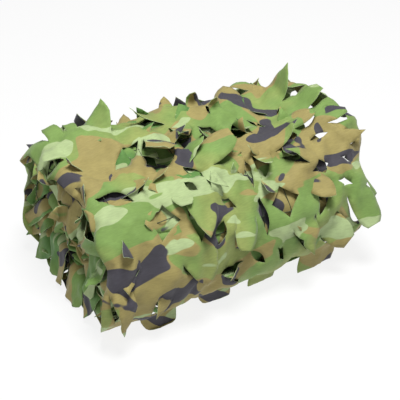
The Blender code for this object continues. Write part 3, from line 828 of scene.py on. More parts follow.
def lay_cloth(cloth, depth, rise_at, tuck, seed):
    """The places in space, in millimetres, of all of a cut cloth's points."""
    along, around = cloth.points.T
    laid = on_roll(along, around, depth(along, around), rise_at(along, around), tuck(along, around))
    uneven = random.Random(seed)
    for number, leaf in enumerate(cloth.leaves):
        mine = np.nonzero(cloth.owner == number)[0]
        cup = uneven.uniform(*CUPS) * leaf.wide
        twist = uneven.uniform(*TWISTS)
        deep = float(depth(leaf.along, leaf.around))
        laid[mine] = lay_leaf(leaf, cloth.points[mine], deep, rise_at, tuck, cup, twist)
    laid[:, 2] = np.maximum(laid[:, 2], FLOOR_GAP)
    return laid


def core_body(depth, raised):
    """A closed body inside the cloth, which it lies on while it settles: (places, faces)."""
    stations = np.linspace(BAND_LEFT, CORE_RIGHT, CORE_STATIONS)
    rounds = np.linspace(0.0, GIRTH, CORE_ROUNDS + 1)[:-1]
    along, around = (grid.ravel() for grid in np.meshgrid(stations, rounds, indexing="ij"))
    places = on_roll(along, around, depth, raised * hills_at(along, around), 0.0)
    index = np.arange(len(places)).reshape(len(stations), len(rounds))
    after = np.roll(index, -1, axis=1)
    faces = np.stack([index[:-1], after[:-1], after[1:], index[1:]], axis=-1).reshape(-1, 4)
    return places, [*faces.tolist(), index[0, ::-1].tolist(), index[-1].tolist()]


def tie_hold(cloth):
    """How firmly each point of a cut cloth is held, from 0 to 1: fully at its ties to the strings and
    under the roll, and partly all over its leaves, from 0.3 for those that stand up by 25 degrees or
    less to 0.9 for those at 60 degrees or more."""
    points = cloth.points
    steep = [0.3 + 0.6 * float(soft_step((leaf.lift - 25.0) / 35.0)) for leaf in cloth.leaves]
    held = np.where(cloth.owner >= 0, np.round(np.array([*steep, 0.0]), 1)[cloth.owner], 0.0)
    free = np.nonzero(cloth.owner < 0)[0]
    tree = KDTree(len(free))
    for index, number in enumerate(free):
        tree.insert((*points[number], 0.0), index)
    tree.balance()
    for row, around in enumerate(np.arange(TIE_START, GIRTH - TIE_END, TIE_PITCH)):
        first = -STRAIGHT_LEFT + (row % 2) * TIE_PITCH / 2.0
        for along in np.arange(first, TIE_RIGHT, TIE_PITCH):
            for _, index, apart in tree.find_n((along, around, 0.0), 4):
                if apart < TIE_REACH:
                    held[free[index]] = 1.0
    held[from_under(points[:, 1]) < HELD_UNDER] = 1.0
    return held


def add_object(name, data):
    """A new object in the scene, with this mesh, light or camera."""
    obj = bpy.data.objects.new(name, data)
    bpy.context.scene.collection.objects.link(obj)
    return obj


def add_mesh(name, places, edges, faces):
    """A new object in the scene, with a mesh of its own."""
    mesh = bpy.data.meshes.new(name)
    mesh.from_pydata(places.tolist(), edges, faces)
    return add_object(name, mesh)


def settle(cloth, laid, how):
    """Lets a cut cloth fold and sag between its ties, and returns its places."""
    scene = bpy.context.scene
    obj = add_mesh("settling_cloth", laid * SOLVER_SCALE, [], cloth.triangles.tolist())
    tied = tie_hold(cloth)
    group = obj.vertex_groups.new(name="tied")
    for weight in np.unique(tied[tied > 0.0]):
        group.add(np.nonzero(tied == weight)[0].tolist(), float(weight), "REPLACE")
    solver = obj.modifiers.new("settle", "CLOTH")
    for name, value in SOLVER.items():
        setattr(solver.settings, name, value)
    solver.settings.shrink_min = -how.slack
    solver.settings.vertex_group_mass = "tied"
    solver.collision_settings.distance_min = SOLVER_GAP
    solver.collision_settings.collision_quality = 2
    solver.point_cache.frame_start = 1
    solver.point_cache.frame_end = how.frames
    places, faces = core_body(how.depth, how.raised)
    body = add_mesh("settling_core", places * SOLVER_SCALE, [], faces)
    body.modifiers.new("collision", "COLLISION")
    body.collision.thickness_outer = CORE_GAP
    for frame_number in range(1, how.frames + 1):
        scene.frame_set(frame_number)
    done = obj.evaluated_get(bpy.context.evaluated_depsgraph_get()).data
    moved = np.empty(len(laid) * 3, np.float32)
    done.vertices.foreach_get("co", moved)
    moved = moved.reshape(-1, 3).astype(float) / SOLVER_SCALE - laid
    scene.frame_set(1)
    for each in (obj, body):
        bpy.data.objects.remove(each)
    far = np.linalg.norm(moved, axis=1)
    settled = laid + moved * np.minimum(1.0, how.most / np.maximum(far, 1e-6))[:, None]
    settled[:, 2] = np.maximum(settled[:, 2], FLOOR_GAP)
    return settled


def make_sheet(name, laid, faces, flat, start, face):
    """Makes a cloth from its laid and flat places: a thin, smooth sheet with the flat places as its UV
    map. start is where its print starts, and face names its finish."""
    obj = add_mesh(name, laid * MM, [], faces.tolist())
    mesh = obj.data
    corners = np.empty(len(mesh.loops), np.int32)
    mesh.loops.foreach_get("vertex_index", corners)
    layer = mesh.uv_layers.new(name="flat_cloth")
    layer.data.foreach_set("uv", ((flat + start)[corners] * MM).astype(np.float32).ravel())
    mesh.shade_smooth()
    mesh.validate()
    solid = obj.modifiers.new("cloth_thickness", "SOLIDIFY")
    solid.thickness = bpy.context.scene.camouflage_net.thick
    solid.offset = 0.0
    solid.use_quality_normals = True
    solid.material_offset_rim = 1
    mesh.materials.append(material_named(face, CLOTH_FACES[face]))
    # the rim takes the cut edge's finish, whose pale beads are a painted highlight
    mesh.materials.append(material_named("heat_cut_edge_painted_highlight", cut_edge_with_painted_highlight))
    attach(obj, "root")
    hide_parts("garnish_cloth")
    span = np.ptp(flat, axis=0) * MM


def grid_faces(count, wide):
    """The faces of a grid of points, in count rows of wide points each."""
    index = np.arange(count * wide).reshape(count, wide)
    faces = np.stack([index[:-1, :-1], index[:-1, 1:], index[1:, 1:], index[1:, :-1]], axis=-1)
    return faces.reshape(-1, 4)


def reach_left(around):
    """How far the outer turn reaches past the roll's middle at its left end: further at the flap on
    the top, up the back and at the front's low corner, and less under the roll."""
    flap = bell(around, 332.0, 24.0)
    back = 1.0 - ramp(around, 250.0, 60.0)
    corner = bell(around, 600.0, 50.0)
    ragged = 4.0 * np.sin(around / 19.0) + 3.0 * np.sin(around / 11.0 + 1.0)
    low = bell(from_under(around), 0.0, 90.0)
    ragged *= 0.3 + back
    return REACH_LEFT + 24.0 * flap + 9.0 * back + 16.0 * corner - 14.0 * low + ragged


def reach_right(around):
    """How far the outer turn reaches past the roll's middle at its right end: furthest where a leaf
    of it stands out, at the front of the top."""
    ragged = 4.0 * np.sin(around / 21.0 + 2.0) + 3.0 * np.sin(around / 13.0)
    return REACH_RIGHT + ragged + 16.0 * bell(around, 462.0, 20.0)


def band_left(around):
    """How far to the left the inner turns reach."""
    ragged = 5.0 * np.sin(around / 17.0) * ramp(around, GIRTH, 90.0)
    return BAND_LEFT - BULGE * bulge(around) - ragged


def band_depth(around):
    """How deep the inner turns' outer face lies at distances around, through all the turns."""
    turn = np.maximum(np.floor(around / GIRTH), 0.0)
    before = np.where(turn == 0, 0.0, FIRST_BAND_DEPTH + TURN_PITCH * (turn - 1))
    after = FIRST_BAND_DEPTH + TURN_PITCH * turn
    step = soft_step(1.0 - (GIRTH - np.mod(around, GIRTH)) / STEP_LONG)
    return np.where(around < 0.0, 0.0, mix(before, after, step))


def border_of(first, last, left, right, step):
    """A closed outline on the flat cloth between two rows, from its left and right edges."""
    rows = np.linspace(first, last, round((last - first) / step) + 1)
    lefts = np.stack([left(rows), rows], axis=1)
    rights = np.stack([right(rows), rows], axis=1)
    count = round((rights[0, 0] - lefts[0, 0]) / step)
    near = np.linspace(lefts[0], rights[0], count + 1)[1:-1]
    far = np.linspace(rights[-1], lefts[-1], count + 1)[1:-1]
    return np.concatenate([near, rights, far, lefts[::-1]])


def outer_border(step):
    """The outer turn's outline on the flat cloth, which narrows to the inner turns' width at both of
    its ends, under the roll."""

    def taper(rows):
        return soft_step(np.minimum(rows - LOOSE_END, GIRTH - rows) / 50.0)

    def left(rows):
        return mix(band_left(rows), -reach_left(rows), taper(rows))

    def right(rows):
        return mix(BAND_RIGHT, reach_right(rows), taper(rows))

    return border_of(LOOSE_END, GIRTH, left, right, step)


# ---------------------------------------------------------------------------- materials


def linear(hex_colour):
    """An sRGB hex colour as linear red, green, blue and alpha."""
    values = [int(hex_colour[k : k + 2], 16) / 255.0 for k in (0, 2, 4)]
    return tuple(v / 12.92 if v <= 0.04045 else ((v + 0.055) / 1.055) ** 2.4 for v in values) + (1.0,)


def add_node(tree, kind, inputs=None, output=None, **settings):
    """Adds a node with these settings and inputs, which are values, other nodes' outputs or a list of
    those, and returns its output of this name or number, or else all its outputs."""
    node = tree.nodes.new(kind)
    for name, value in settings.items():
        setattr(node, name, value)
    for name, value in (inputs or {}).items():
        for source in value if isinstance(value, list) else [value]:
            if isinstance(source, bpy.types.NodeSocket):
                tree.links.new(source, node.inputs[name])
            else:
                node.inputs[name].default_value = source
    return node.outputs if output is None else node.outputs[output]


def empty_material(name):
    """A material with no nodes yet."""
    material = bpy.data.materials.new(name)
    material.use_nodes = True
    material.node_tree.nodes.clear()
    return material


def camouflage_cloth(name, wear_and_shade_green):
    """Woven polyester with a piece-printed woodland pattern: matt, with a faint sheen on its folds.
    The blobs are about 50 to 110 mm long, with crisp edges. The threads are about 0.4 mm apart, too
    fine to show, so the weave is drawn at 1.2 mm. Its second green is the one that its own turns to in
    patches: paler outside, where it has worn, and darker on the cloth inside the roll, as painted shade."""
    material = empty_material(name)
    tree = material.node_tree
    look = bpy.context.scene.camouflage_net
    flat = add_node(tree, "ShaderNodeUVMap", output="UV", uv_map="flat_cloth")

    # the ground: its own green, and patches about 110 mm across: worn outside, painted shade inside
    patches = {"Vector": flat, "Scale": 9.0, "Detail": 3.0}
    patches = add_node(tree, "ShaderNodeTexNoise", patches, "Fac", noise_dimensions="2D")
    share = {"Value": patches, "From Min": 0.42, "From Max": 0.62}
    share = add_node(tree, "ShaderNodeMapRange", share, "Result")
    colour = {0: share, 6: tuple(look.green), 7: tuple(wear_and_shade_green)}
    colour = add_node(tree, "ShaderNodeMix", colour, 2, data_type="RGBA")

    # the print, tone over tone
    for tone in TONES:
        blobs = (1.0 / (tone.long * MM), 1.0 / (tone.wide * MM), 1.0)
        placed = {"Vector": flat, "Location": tone.start, "Scale": blobs}
        placed = add_node(tree, "ShaderNodeMapping", placed, "Vector")
        mask = {"Vector": placed, "Scale": 1.0, "Detail": 1.6, "Roughness": 0.45, "Distortion": 0.5}
        mask = add_node(tree, "ShaderNodeTexNoise", mask, "Fac", noise_dimensions="2D")
        if tone is TONES[0]:
            first = mask
            opposite = add_node(
                tree, "ShaderNodeMath", {0: 1.0, 1: first}, "Value", operation="SUBTRACT"
            )
        else:
            mask = {0: tone.own, 2: opposite if tone.opposite else first, 3: mask}
            mask = add_node(tree, "ShaderNodeMix", mask, 0, data_type="FLOAT")
        low, high = tone.threshold - PRINT_EDGE, tone.threshold + PRINT_EDGE
        share = {"Value": mask, "From Min": low, "From Max": high}
        share = add_node(
            tree, "ShaderNodeMapRange", share, "Result", interpolation_type="SMOOTHSTEP"
        )
        colour = {0: share, 6: colour, 7: tuple(getattr(look, tone.name))}
        colour = add_node(tree, "ShaderNodeMix", colour, 2, data_type="RGBA")

    # paler and darker places: a mottle of about 22 mm, and slubs along the threads
    slubs = {"Vector": flat, "Scale": (1.0 / (SLUB_LONG * MM), 1.0 / (SLUB_WIDE * MM), 1.0)}
    slubs = add_node(tree, "ShaderNodeMapping", slubs, "Vector")
    shades = {}
    for number, (place, scale, detail) in enumerate(((flat, 45.0, 3.0), (slubs, 1.0, 2.0))):
        uneven = {"Vector": place, "Scale": scale, "Detail": detail}
        uneven = add_node(tree, "ShaderNodeTexNoise", uneven, "Fac", noise_dimensions="2D")
        uneven = {"Value": uneven, "To Min": 0.84, "To Max": 1.16}
        shades[number] = add_node(tree, "ShaderNodeMapRange", uneven, "Result")
    shade = add_node(tree, "ShaderNodeMath", shades, "Value", operation="MULTIPLY")
    colour = {0: colour, "Scale": shade}
    colour = add_node(tree, "ShaderNodeVectorMath", colour, "Vector", operation="SCALE")

    # the weave, over creases about 26 mm apart
    threads = {"Vector": flat, "Scale": (1.0 / (WEAVE * MM), 1.0 / (WEAVE * MM), 1.0)}
    threads = add_node(tree, "ShaderNodeMapping", threads, "Vector")
    weave = add_node(tree, "ShaderNodeTexChecker", {"Vector": threads, "Scale": 1.0}, "Fac")
    creased = add_node(
        tree,
        "ShaderNodeTexNoise",
        {"Vector": flat, "Scale": 38.0, "Detail": 3.0, "Roughness": 0.5, "Distortion": 0.4},
        "Fac",
        noise_dimensions="2D",
        noise_type="RIDGED_MULTIFRACTAL",
        normalize=True,
    )
    rumpled = {"Strength": 0.6, "Distance": 0.0014, "Height": creased}
    rumpled = add_node(tree, "ShaderNodeBump", rumpled, "Normal")
    bump = {"Strength": 0.25, "Distance": 0.0002, "Height": weave, "Normal": rumpled}
    bump = add_node(tree, "ShaderNodeBump", bump, "Normal")
    finish = {
        "Base Color": colour,
        "Roughness": 0.72,
        "Sheen Weight": 0.12,
        "Sheen Roughness": 0.5,
        "Specular IOR Level": 0.3,
        "Normal": bump,
    }
    shader = add_node(tree, "ShaderNodeBsdfPrincipled", finish, "BSDF")
    add_node(tree, "ShaderNodeOutputMaterial", {"Surface": shader})
    return material


def worn_cloth(name):
    """The printed cloth outside, where light and rubbing have faded its green in patches."""
    return camouflage_cloth(name, bpy.context.scene.camouflage_net.worn_green)


def painted_shade_cloth(name):
    """The printed cloth inside the roll, with patches of a darker green as painted shade."""
    return camouflage_cloth(name, bpy.context.scene.camouflage_net.painted_shade_green)


def cut_edge_with_painted_highlight(name):
    """The heat-cut edge of the cloth: melted polyester, a little glossier than its face. Its pale beads,
    about 2.5 mm across, are a painted highlight where the edges catch the light."""
    material = empty_material(name)
    tree = material.node_tree
    look = bpy.context.scene.camouflage_net
    place = add_node(tree, "ShaderNodeTexCoord", output="Object")
    beads = add_node(tree, "ShaderNodeTexNoise", {"Vector": place, "Scale": 400.0}, "Fac")
    # the pale beads over the green are a painted highlight along the cut edges
    colour = {0: beads, 6: tuple(look.green), 7: tuple(look.edge)}
    colour = add_node(tree, "ShaderNodeMix", colour, 2, data_type="RGBA")
    finish = {"Base Color": colour, "Roughness": 0.5}
    shader = add_node(tree, "ShaderNodeBsdfPrincipled", finish, "BSDF")
    add_node(tree, "ShaderNodeOutputMaterial", {"Surface": shader})
    return material


def twine(name):
    """Dark green polyethylene twine, twisted: matt, with the ridges of its strands 2 mm apart."""
    material = empty_material(name)
    tree = material.node_tree
    place = add_node(tree, "ShaderNodeTexCoord", output="Object")
    strands = {"Vector": place, "Scale": 500.0, "Detail": 2.0}
    strands = add_node(tree, "ShaderNodeTexNoise", strands, "Fac")
    bump = {"Strength": 0.5, "Distance": 0.0003, "Height": strands}
    bump = add_node(tree, "ShaderNodeBump", bump, "Normal")
    colour = tuple(bpy.context.scene.camouflage_net.twine)
    finish = {"Base Color": colour, "Roughness": 0.6, "Normal": bump}
    shader = add_node(tree, "ShaderNodeBsdfPrincipled", finish, "BSDF")
    add_node(tree, "ShaderNodeOutputMaterial", {"Surface": shader})
    return material


# the cloth inside the roll takes the darker green patches, as painted shade
CLOTH_FACES = {"worn_printed_polyester": worn_cloth, "printed_polyester_with_painted_shade": painted_shade_cloth}


def material_named(name, make):
    """The material of this name, made when it is first asked for."""
    return bpy.data.materials.get(name) or make(name)


# ---------------------------------------------------------------------------- operators


def colour_property(name, description, hex_colour):
    """A colour that a user can change, with an sRGB hex value as its default."""
    return FloatVectorProperty(
        name=name,
        description=description,
        subtype="COLOR",
        size=4,
        min=0.0,
        max=1.0,
        default=linear(hex_colour),
    )


def length_property(name, description, default, least):
    """A length that a user can change. default and least are in millimetres."""
    return FloatProperty(
        name=name, description=description, unit="LENGTH", default=default * MM, min=least * MM
    )


def in_mm(length):
    """A length property's value in millimetres, without the rounding of the property's own number."""
    return round(length / MM, 3)


class NetLook(bpy.types.PropertyGroup):
    """The sizes and colours of the net that a user would change."""

    step: length_property("Cloth step", "Distance between the cloth's points", 5.5, 3.0)
    thick: length_property("Cloth thickness", "Thickness of the drawn cloth", 0.7, 0.2)
    mesh_pitch: length_property("Mesh pitch", "Distance between the strings", 40.0, 20.0)
    string_radius: length_property("String radius", "Radius of the twine", 0.6, 0.2)
    small_leaves: IntProperty(
        name="Small leaves",
        description="Small leaves scattered over the outer turn, before its smooth panel is cleared",
        default=70,
        min=0,
    )
    green: colour_property("Green", "The ground of the print", "74914C")
    worn_green: colour_property("Worn green", "The ground where the outer cloth has worn", "899552")
    # the darker green in patches of the cloth inside the roll is painted shade
    painted_shade_green: colour_property("Forest green", "The ground in patches of the cloth inside", "57803F")
    sage: colour_property("Pale sage", "The palest blobs of the print", "A0B27F")
    tan: colour_property("Tan", "The tan blobs of the print", "958953")
    slate: colour_property("Slate", "The darkest blobs of the print", "403E45")
    # the pale cut edge colour is a painted highlight along the edges
    edge: colour_property("Cut edge", "The palest beads of the melted edge", "C9D6AE")
    twine: colour_property("Twine", "The strings and their knots", "2E3A26")


def on_plain_panel(leaf):
    """Whether a leaf is on the smooth panel at the left of the top and front."""
    low, high = PLAIN_PANEL
    return low[0] < leaf.along < high[0] and low[1] < leaf.around < high[1]


class NET_OT_outer_turn(bpy.types.Operator):
    """Makes the roll's outer turn: one ply of printed cloth, cut into leaves that lift and curl"""

    bl_idname = "net.outer_turn"
    bl_label = "Outer turn"

    def execute(self, context):
        look = context.scene.camouflage_net
        step = in_mm(look.step)
        border = outer_border(step)
        small = spread_leaves(border, CUT_LEAVES, SLOTS, look.small_leaves, OUTER_SCATTER)
        small = [leaf for leaf in small if not on_plain_panel(leaf)]
        cloth = CutCloth(border, CUT_LEAVES + small, SLOTS, step, OUTER_SLIT)

        def rise_at(along, around):
            return hills_at(along, around) + wrinkles(along, around, 2.0)

        def depth(along, around):
            return PLY / 2.0 + band_depth(np.minimum(around, GIRTH - 1e-6))

        def tuck(along, around):
            return soft_step(np.minimum(around - LOOSE_END, GIRTH - around) / STEP_LONG)

        laid = lay_cloth(cloth, depth, rise_at, tuck, OUTER_SEED)
        laid = settle(cloth, laid, OUTER_SETTLING)
        faces, flat = cloth.triangles, cloth.points
        face = "worn_printed_polyester"
        make_sheet("outer_turn", laid, faces, flat, OUTER_TURN_PRINT, face)
        return {"FINISHED"}


class NET_OT_under_ply(bpy.types.Operator):
    """Makes the ply just below the outer turn, whose leaves fill the outer turn's openings"""

    bl_idname = "net.under_ply"
    bl_label = "Under ply"

    def execute(self, context):
        step = in_mm(context.scene.camouflage_net.step)

        # its left border hangs over the end at the top and front, and its right one ends inside
        def left(rows):
            over = 78.0 + 24.0 * np.sin((rows - 300.0) / 75.0) + 10.0 * np.sin(rows / 14.0)
            return -UNDER_LEFT - mix(14.0, over, ramp(rows, 270.0, 70.0)) - 6.0 * np.sin(rows / 7.0)

        def right(rows):
            return UNDER_RIGHT + 6.0 * np.sin(rows / 17.0) + 4.0 * np.sin(rows / 8.0)

        border = border_of(UNDER_START, GIRTH - UNDER_END, left, right, step)
        leaves = spread_leaves(border, [], [], UNDER_LEAVES, UNDER_SCATTER)
        cloth = CutCloth(border, leaves, [], step * UNDER_COARSER, UNDER_SLIT)

        # where it hangs over the left end it gathers in folds
        def rise_at(along, around):
            end = ramp(-along, 176.0, 30.0)
            high = 0.75 * hills_at(along, around) + 0.8 * wrinkles(along, around, 21.0)
            gathered = 7.0 * folds(along, around, 27.0, 90.0, 17.0, 4.0)
            gathered += 6.0 * folds(along, around, 29.0, 34.0, 26.0, 30.0)
            return high * (1.0 - 0.5 * end) + gathered * end

        def tuck(along, around):
            bent = mix(1.0, full_tuck(around), ramp(around, 270.0, 70.0))
            return np.where(along < 0.0, bent, 0.4)

        def depth(along, around):
            return UNDER_DEPTH + 4.0 * ramp(around, 290.0, 90.0) * ramp(-along, 156.0, 36.0)

        laid = lay_cloth(cloth, depth, rise_at, tuck, UNDER_SEED)
        laid = settle(cloth, laid, UNDER_SETTLING)
        faces, flat = cloth.triangles, cloth.points
        # this cloth inside the roll has darker green patches as painted shade
        face = "printed_polyester_with_painted_shade"
        make_sheet("under_ply", laid, faces, flat, UNDER_PLY_PRINT, face)
        return {"FINISHED"}


def row_distances():
    """How far around the inner turns' rows lie: each about PLY_STEP from the last on its own turn."""
    first, last = GIRTH - PLY_OVERLAP, GIRTH * (1.0 + BAND_TURNS)
    arounds = [first]
    while arounds[-1] < last:
        deep = float(band_depth(arounds[-1]))
        arounds.append(arounds[-1] + PLY_STEP / max(1.0 - deep / MIDDLE_DEPTH, 0.2))
    return np.minimum(np.array(arounds), last - 1e-3)


def ply_row(around):
    """One row of the inner turns, to and fro through all the plies and round the folds between them:
    each point's place along the roll, its depth within the turn, and the number of its ply."""
    left = float(band_left(around))
    row = []
    for number, offset in enumerate(PLY_DEPTHS):
        away = noise.noise(Vector((around / 34.0, number // 2 * 9.0, 4.0))) * 12.0
        away += noise.noise(Vector((around / 11.0, number // 2 * 9.0, 8.0))) * 4.0
        start = BAND_RIGHT - 6.0 - 4.0 * math.sin(around / 13.0 + number)
        end = left + 13.0 + away
        shares = PLY_SHARES if number % 2 == 0 else PLY_SHARES[::-1]
        row += [(mix(start, end, share), offset, number) for share in shares]
        if number + 1 < len(PLY_DEPTHS):
            edge, out = (end, -1.0) if number % 2 == 0 else (start, 1.0)
            for k in (1, 2, 3):
                bend = math.pi * k / 4.0
                deeper = offset + (PLY_DEPTHS[number + 1] - offset) * (1.0 - math.cos(bend)) / 2.0
                row.append((edge + out * HAIRPIN_REACH * math.sin(bend), deeper, number + 0.5))
    return row


def wind_plies():
    """The inner turns' places in space, their places on flat cloth, and their faces."""
    arounds = row_distances()
    rows = np.array([ply_row(around) for around in arounds])
    count, wide = rows.shape[:2]
    along, offset, number = rows.reshape(-1, 3).T
    around = np.repeat(arounds, wide)
    near_end = ramp(-along, 110.0, 70.0)
    shift = 1.6 * near_end * folds(around * 0.0 + number * 7.0, around, 31.0, 10.0, 17.0, 0.0)
    shift += 6.0 * near_end * folds(along, around, 37.0, 60.0, 30.0, 10.0)
    depth = np.clip(band_depth(around) + offset + shift, *PLY_RANGE)
    laid = on_roll(along, around, depth, 0.0, 0.0)
    loose = ramp(-laid[:, 0], 120.0, 60.0)
    laid[:, 0] += 14.0 * loose * folds(laid[:, 1], laid[:, 2], 41.0, 46.0, 38.0, 20.0)
    pushed = 10.0 * loose * folds(laid[:, 1], laid[:, 2], 43.0, 60.0, 44.0, 70.0)
    laid[:, 1] += pushed * ramp(laid[:, 2], 20.0, 30.0)
    deep = np.clip(band_depth(arounds) + np.mean(PLY_DEPTHS), 0.0, DEEPEST_TURN)
    narrowed = (ROLL_TALL / 2.0 - deep) / (ROLL_TALL / 2.0)
    reached = running(np.diff(arounds) * narrowed[1:])
    across = running(np.linalg.norm(np.diff(rows[0, :, :2], axis=0), axis=1))
    flat = np.stack([np.tile(across, count), np.repeat(reached, wide)], axis=1)
    return laid, flat, grid_faces(count, wide)


def lay_end_leaf(leaf, seed):
    """A leaf that hangs over the left end: its places in space, its places on flat cloth and its
    faces. Its root is inside the roll, and it bends round the edge of the turn that it belongs to."""
    total = leaf.long + END_LEAF_INSIDE
    count, wide = round(total / END_LEAF_STEP) + 1, round(leaf.wide / END_LEAF_STEP) + 1
    run = np.linspace(-END_LEAF_INSIDE, leaf.long, count)
    share = np.clip(run / leaf.long, 0.0, 1.0)
    turned = END_LEAF_BEND * ramp(run, -END_LEAF_INSIDE, END_ROUNDING) - leaf.curl * share**1.5
    between = np.radians((turned[1:] + turned[:-1]) / 2.0)
    each = total / (count - 1)
    out, down = running(np.cos(between) * each), running(np.sin(between) * each)
    knots = np.array(PROFILES[leaf.tip])
    half = np.maximum(leaf.wide / 2.0 * np.interp(share, knots[:, 0], knots[:, 1]), 0.8)
    half *= 1.0 + 0.10 * folds(run, run * 0.0 + seed * 9.0, 61.0, 12.0, 1.0, 0.0)
    aside = (np.linspace(-1.0, 1.0, wide)[None, :] * half[:, None]).ravel()
    along = np.repeat(run, wide)
    high = 9.0 * folds(along, aside + seed * 90.0, 63.0, 95.0, 17.0, 7.0)
    high += 3.0 * folds(along, aside + seed * 90.0, 65.0, 30.0, 14.0, -20.0)
    high *= ramp(along, -END_LEAF_INSIDE, 30.0)
    turned = np.radians(np.repeat(turned, wide))
    out = np.repeat(out, wide) + high * np.sin(turned)
    down = np.repeat(down, wide) - high * np.cos(turned)
    heading = math.radians(leaf.heading)
    bulged = BULGE * (0.5 + 0.5 * math.cos(math.pi * leaf.high / ROLL_TALL))
    places = np.stack(
        [
            BAND_LEFT + END_ROUNDING - bulged - leaf.stand - out,
            leaf.across + down * math.cos(heading) - aside * math.sin(heading),
            leaf.high + down * math.sin(heading) + aside * math.cos(heading),
        ],
        axis=1,
    )
    places[:, 2] = np.maximum(places[:, 2], END_FLOOR_GAP)
    return places, np.stack([along, aside], axis=1), grid_faces(count, wide)


class NET_OT_inner_turns(bpy.types.Operator):
    """Makes the inner turns: the cloth folded to and fro in plies, and wound up to the core"""

    bl_idname = "net.inner_turns"
    bl_label = "Inner turns"

    def execute(self, context):
        laid, flat, faces = wind_plies()
        area = float(np.prod(np.ptp(flat, axis=0)))
        strip = float(flat[:, 1].max()) + END_LEAF_APART
        for number, leaf in enumerate(END_LEAVES):
            places, cut, sides = lay_end_leaf(leaf, number)
            area += (leaf.long + END_LEAF_INSIDE) * leaf.wide * END_LEAF_FILL
            faces = np.concatenate([faces, sides + len(laid)])
            laid = np.concatenate([laid, places])
            flat = np.concatenate([flat, cut + (END_LEAF_FIRST + END_LEAF_PITCH * number, strip)])
        # this cloth inside the roll has darker green patches as painted shade
        face = "printed_polyester_with_painted_shade"
        make_sheet("inner_turns", laid, faces, flat, INNER_TURNS_PRINT, face)
        return {"FINISHED"}


def string_lines(pitch):
    """The strings' lines on flat cloth: (places, edges, whether each place is a crossing)."""
    alongs = np.arange(STRINGS_LEFT, STRINGS_RIGHT, pitch)
    arounds = np.arange(STRINGS_START, GIRTH - STRINGS_END, pitch)
    rows = np.arange(arounds[0], arounds[-1] + 0.1, STRING_STEP)
    columns = np.arange(alongs[0], alongs[-1] + 0.1, STRING_STEP)
    lines = [[(along, row) for row in rows] for along in alongs]
    lines += [[(column, around) for column in columns] for around in arounds]
    crossed = np.abs((rows - arounds[0]) % pitch) < 0.1
    marks = [*np.tile(crossed, len(alongs)), *[False] * (len(columns) * len(arounds))]
    places, edges = [], []
    for line in lines:
        first = len(places)
        places += line
        edges += [(k, k + 1) for k in range(first, len(places) - 1)]
    return np.array(places), edges, np.array(marks, bool)


def string_tree():
    """Geometry Nodes: a tube along each string, and a knot at each marked crossing."""
    tree = bpy.data.node_groups.new("string_net_nodes", "GeometryNodeTree")
    sockets = tree.interface
    sockets.new_socket("Geometry", in_out="INPUT", socket_type="NodeSocketGeometry")
    names = {}
    for name, kind in (
        ("Twine radius", "NodeSocketFloat"),
        ("Knot radius", "NodeSocketFloat"),
        ("Seed", "NodeSocketInt"),
        ("Finish", "NodeSocketMaterial"),
    ):
        names[name] = sockets.new_socket(name, in_out="INPUT", socket_type=kind).identifier
    sockets.new_socket("Geometry", in_out="OUTPUT", socket_type="NodeSocketGeometry")
    given = add_node(tree, "NodeGroupInput")
    strings = add_node(tree, "GeometryNodeMeshToCurve", {"Mesh": given["Geometry"]}, "Curve")
    ring = {"Resolution": 6, "Radius": given["Twine radius"]}
    ring = add_node(tree, "GeometryNodeCurvePrimitiveCircle", ring, "Curve")
    tubes = {"Curve": strings, "Profile Curve": ring, "Fill Caps": True}
    tubes = add_node(tree, "GeometryNodeCurveToMesh", tubes, "Mesh")
    marked = {"Name": "crossing"}
    marked = add_node(
        tree, "GeometryNodeInputNamedAttribute", marked, "Attribute", data_type="BOOLEAN"
    )
    ball = {"Radius": given["Knot radius"], "Subdivisions": 2}
    ball = add_node(tree, "GeometryNodeMeshIcoSphere", ball, "Mesh")
    tilt = {"Min": (0.0, 0.0, 0.0), "Max": (6.28, 6.28, 6.28), "Seed": given["Seed"]}
    tilt = add_node(tree, "FunctionNodeRandomValue", tilt, "Value", data_type="FLOAT_VECTOR")
    knots = {
        "Points": given["Geometry"],
        "Selection": marked,
        "Instance": ball,
        "Rotation": tilt,
        "Scale": (1.0, 1.0, 0.7),
    }
    knots = add_node(tree, "GeometryNodeInstanceOnPoints", knots, "Instances")
    joined = add_node(tree, "GeometryNodeJoinGeometry", {"Geometry": [knots, tubes]}, "Geometry")
    real = add_node(tree, "GeometryNodeRealizeInstances", {"Geometry": joined}, "Geometry")
    done = {"Geometry": real, "Material": given["Finish"]}
    done = add_node(tree, "GeometryNodeSetMaterial", done, "Geometry")
    add_node(tree, "NodeGroupOutput", {"Geometry": done})
    return tree, names


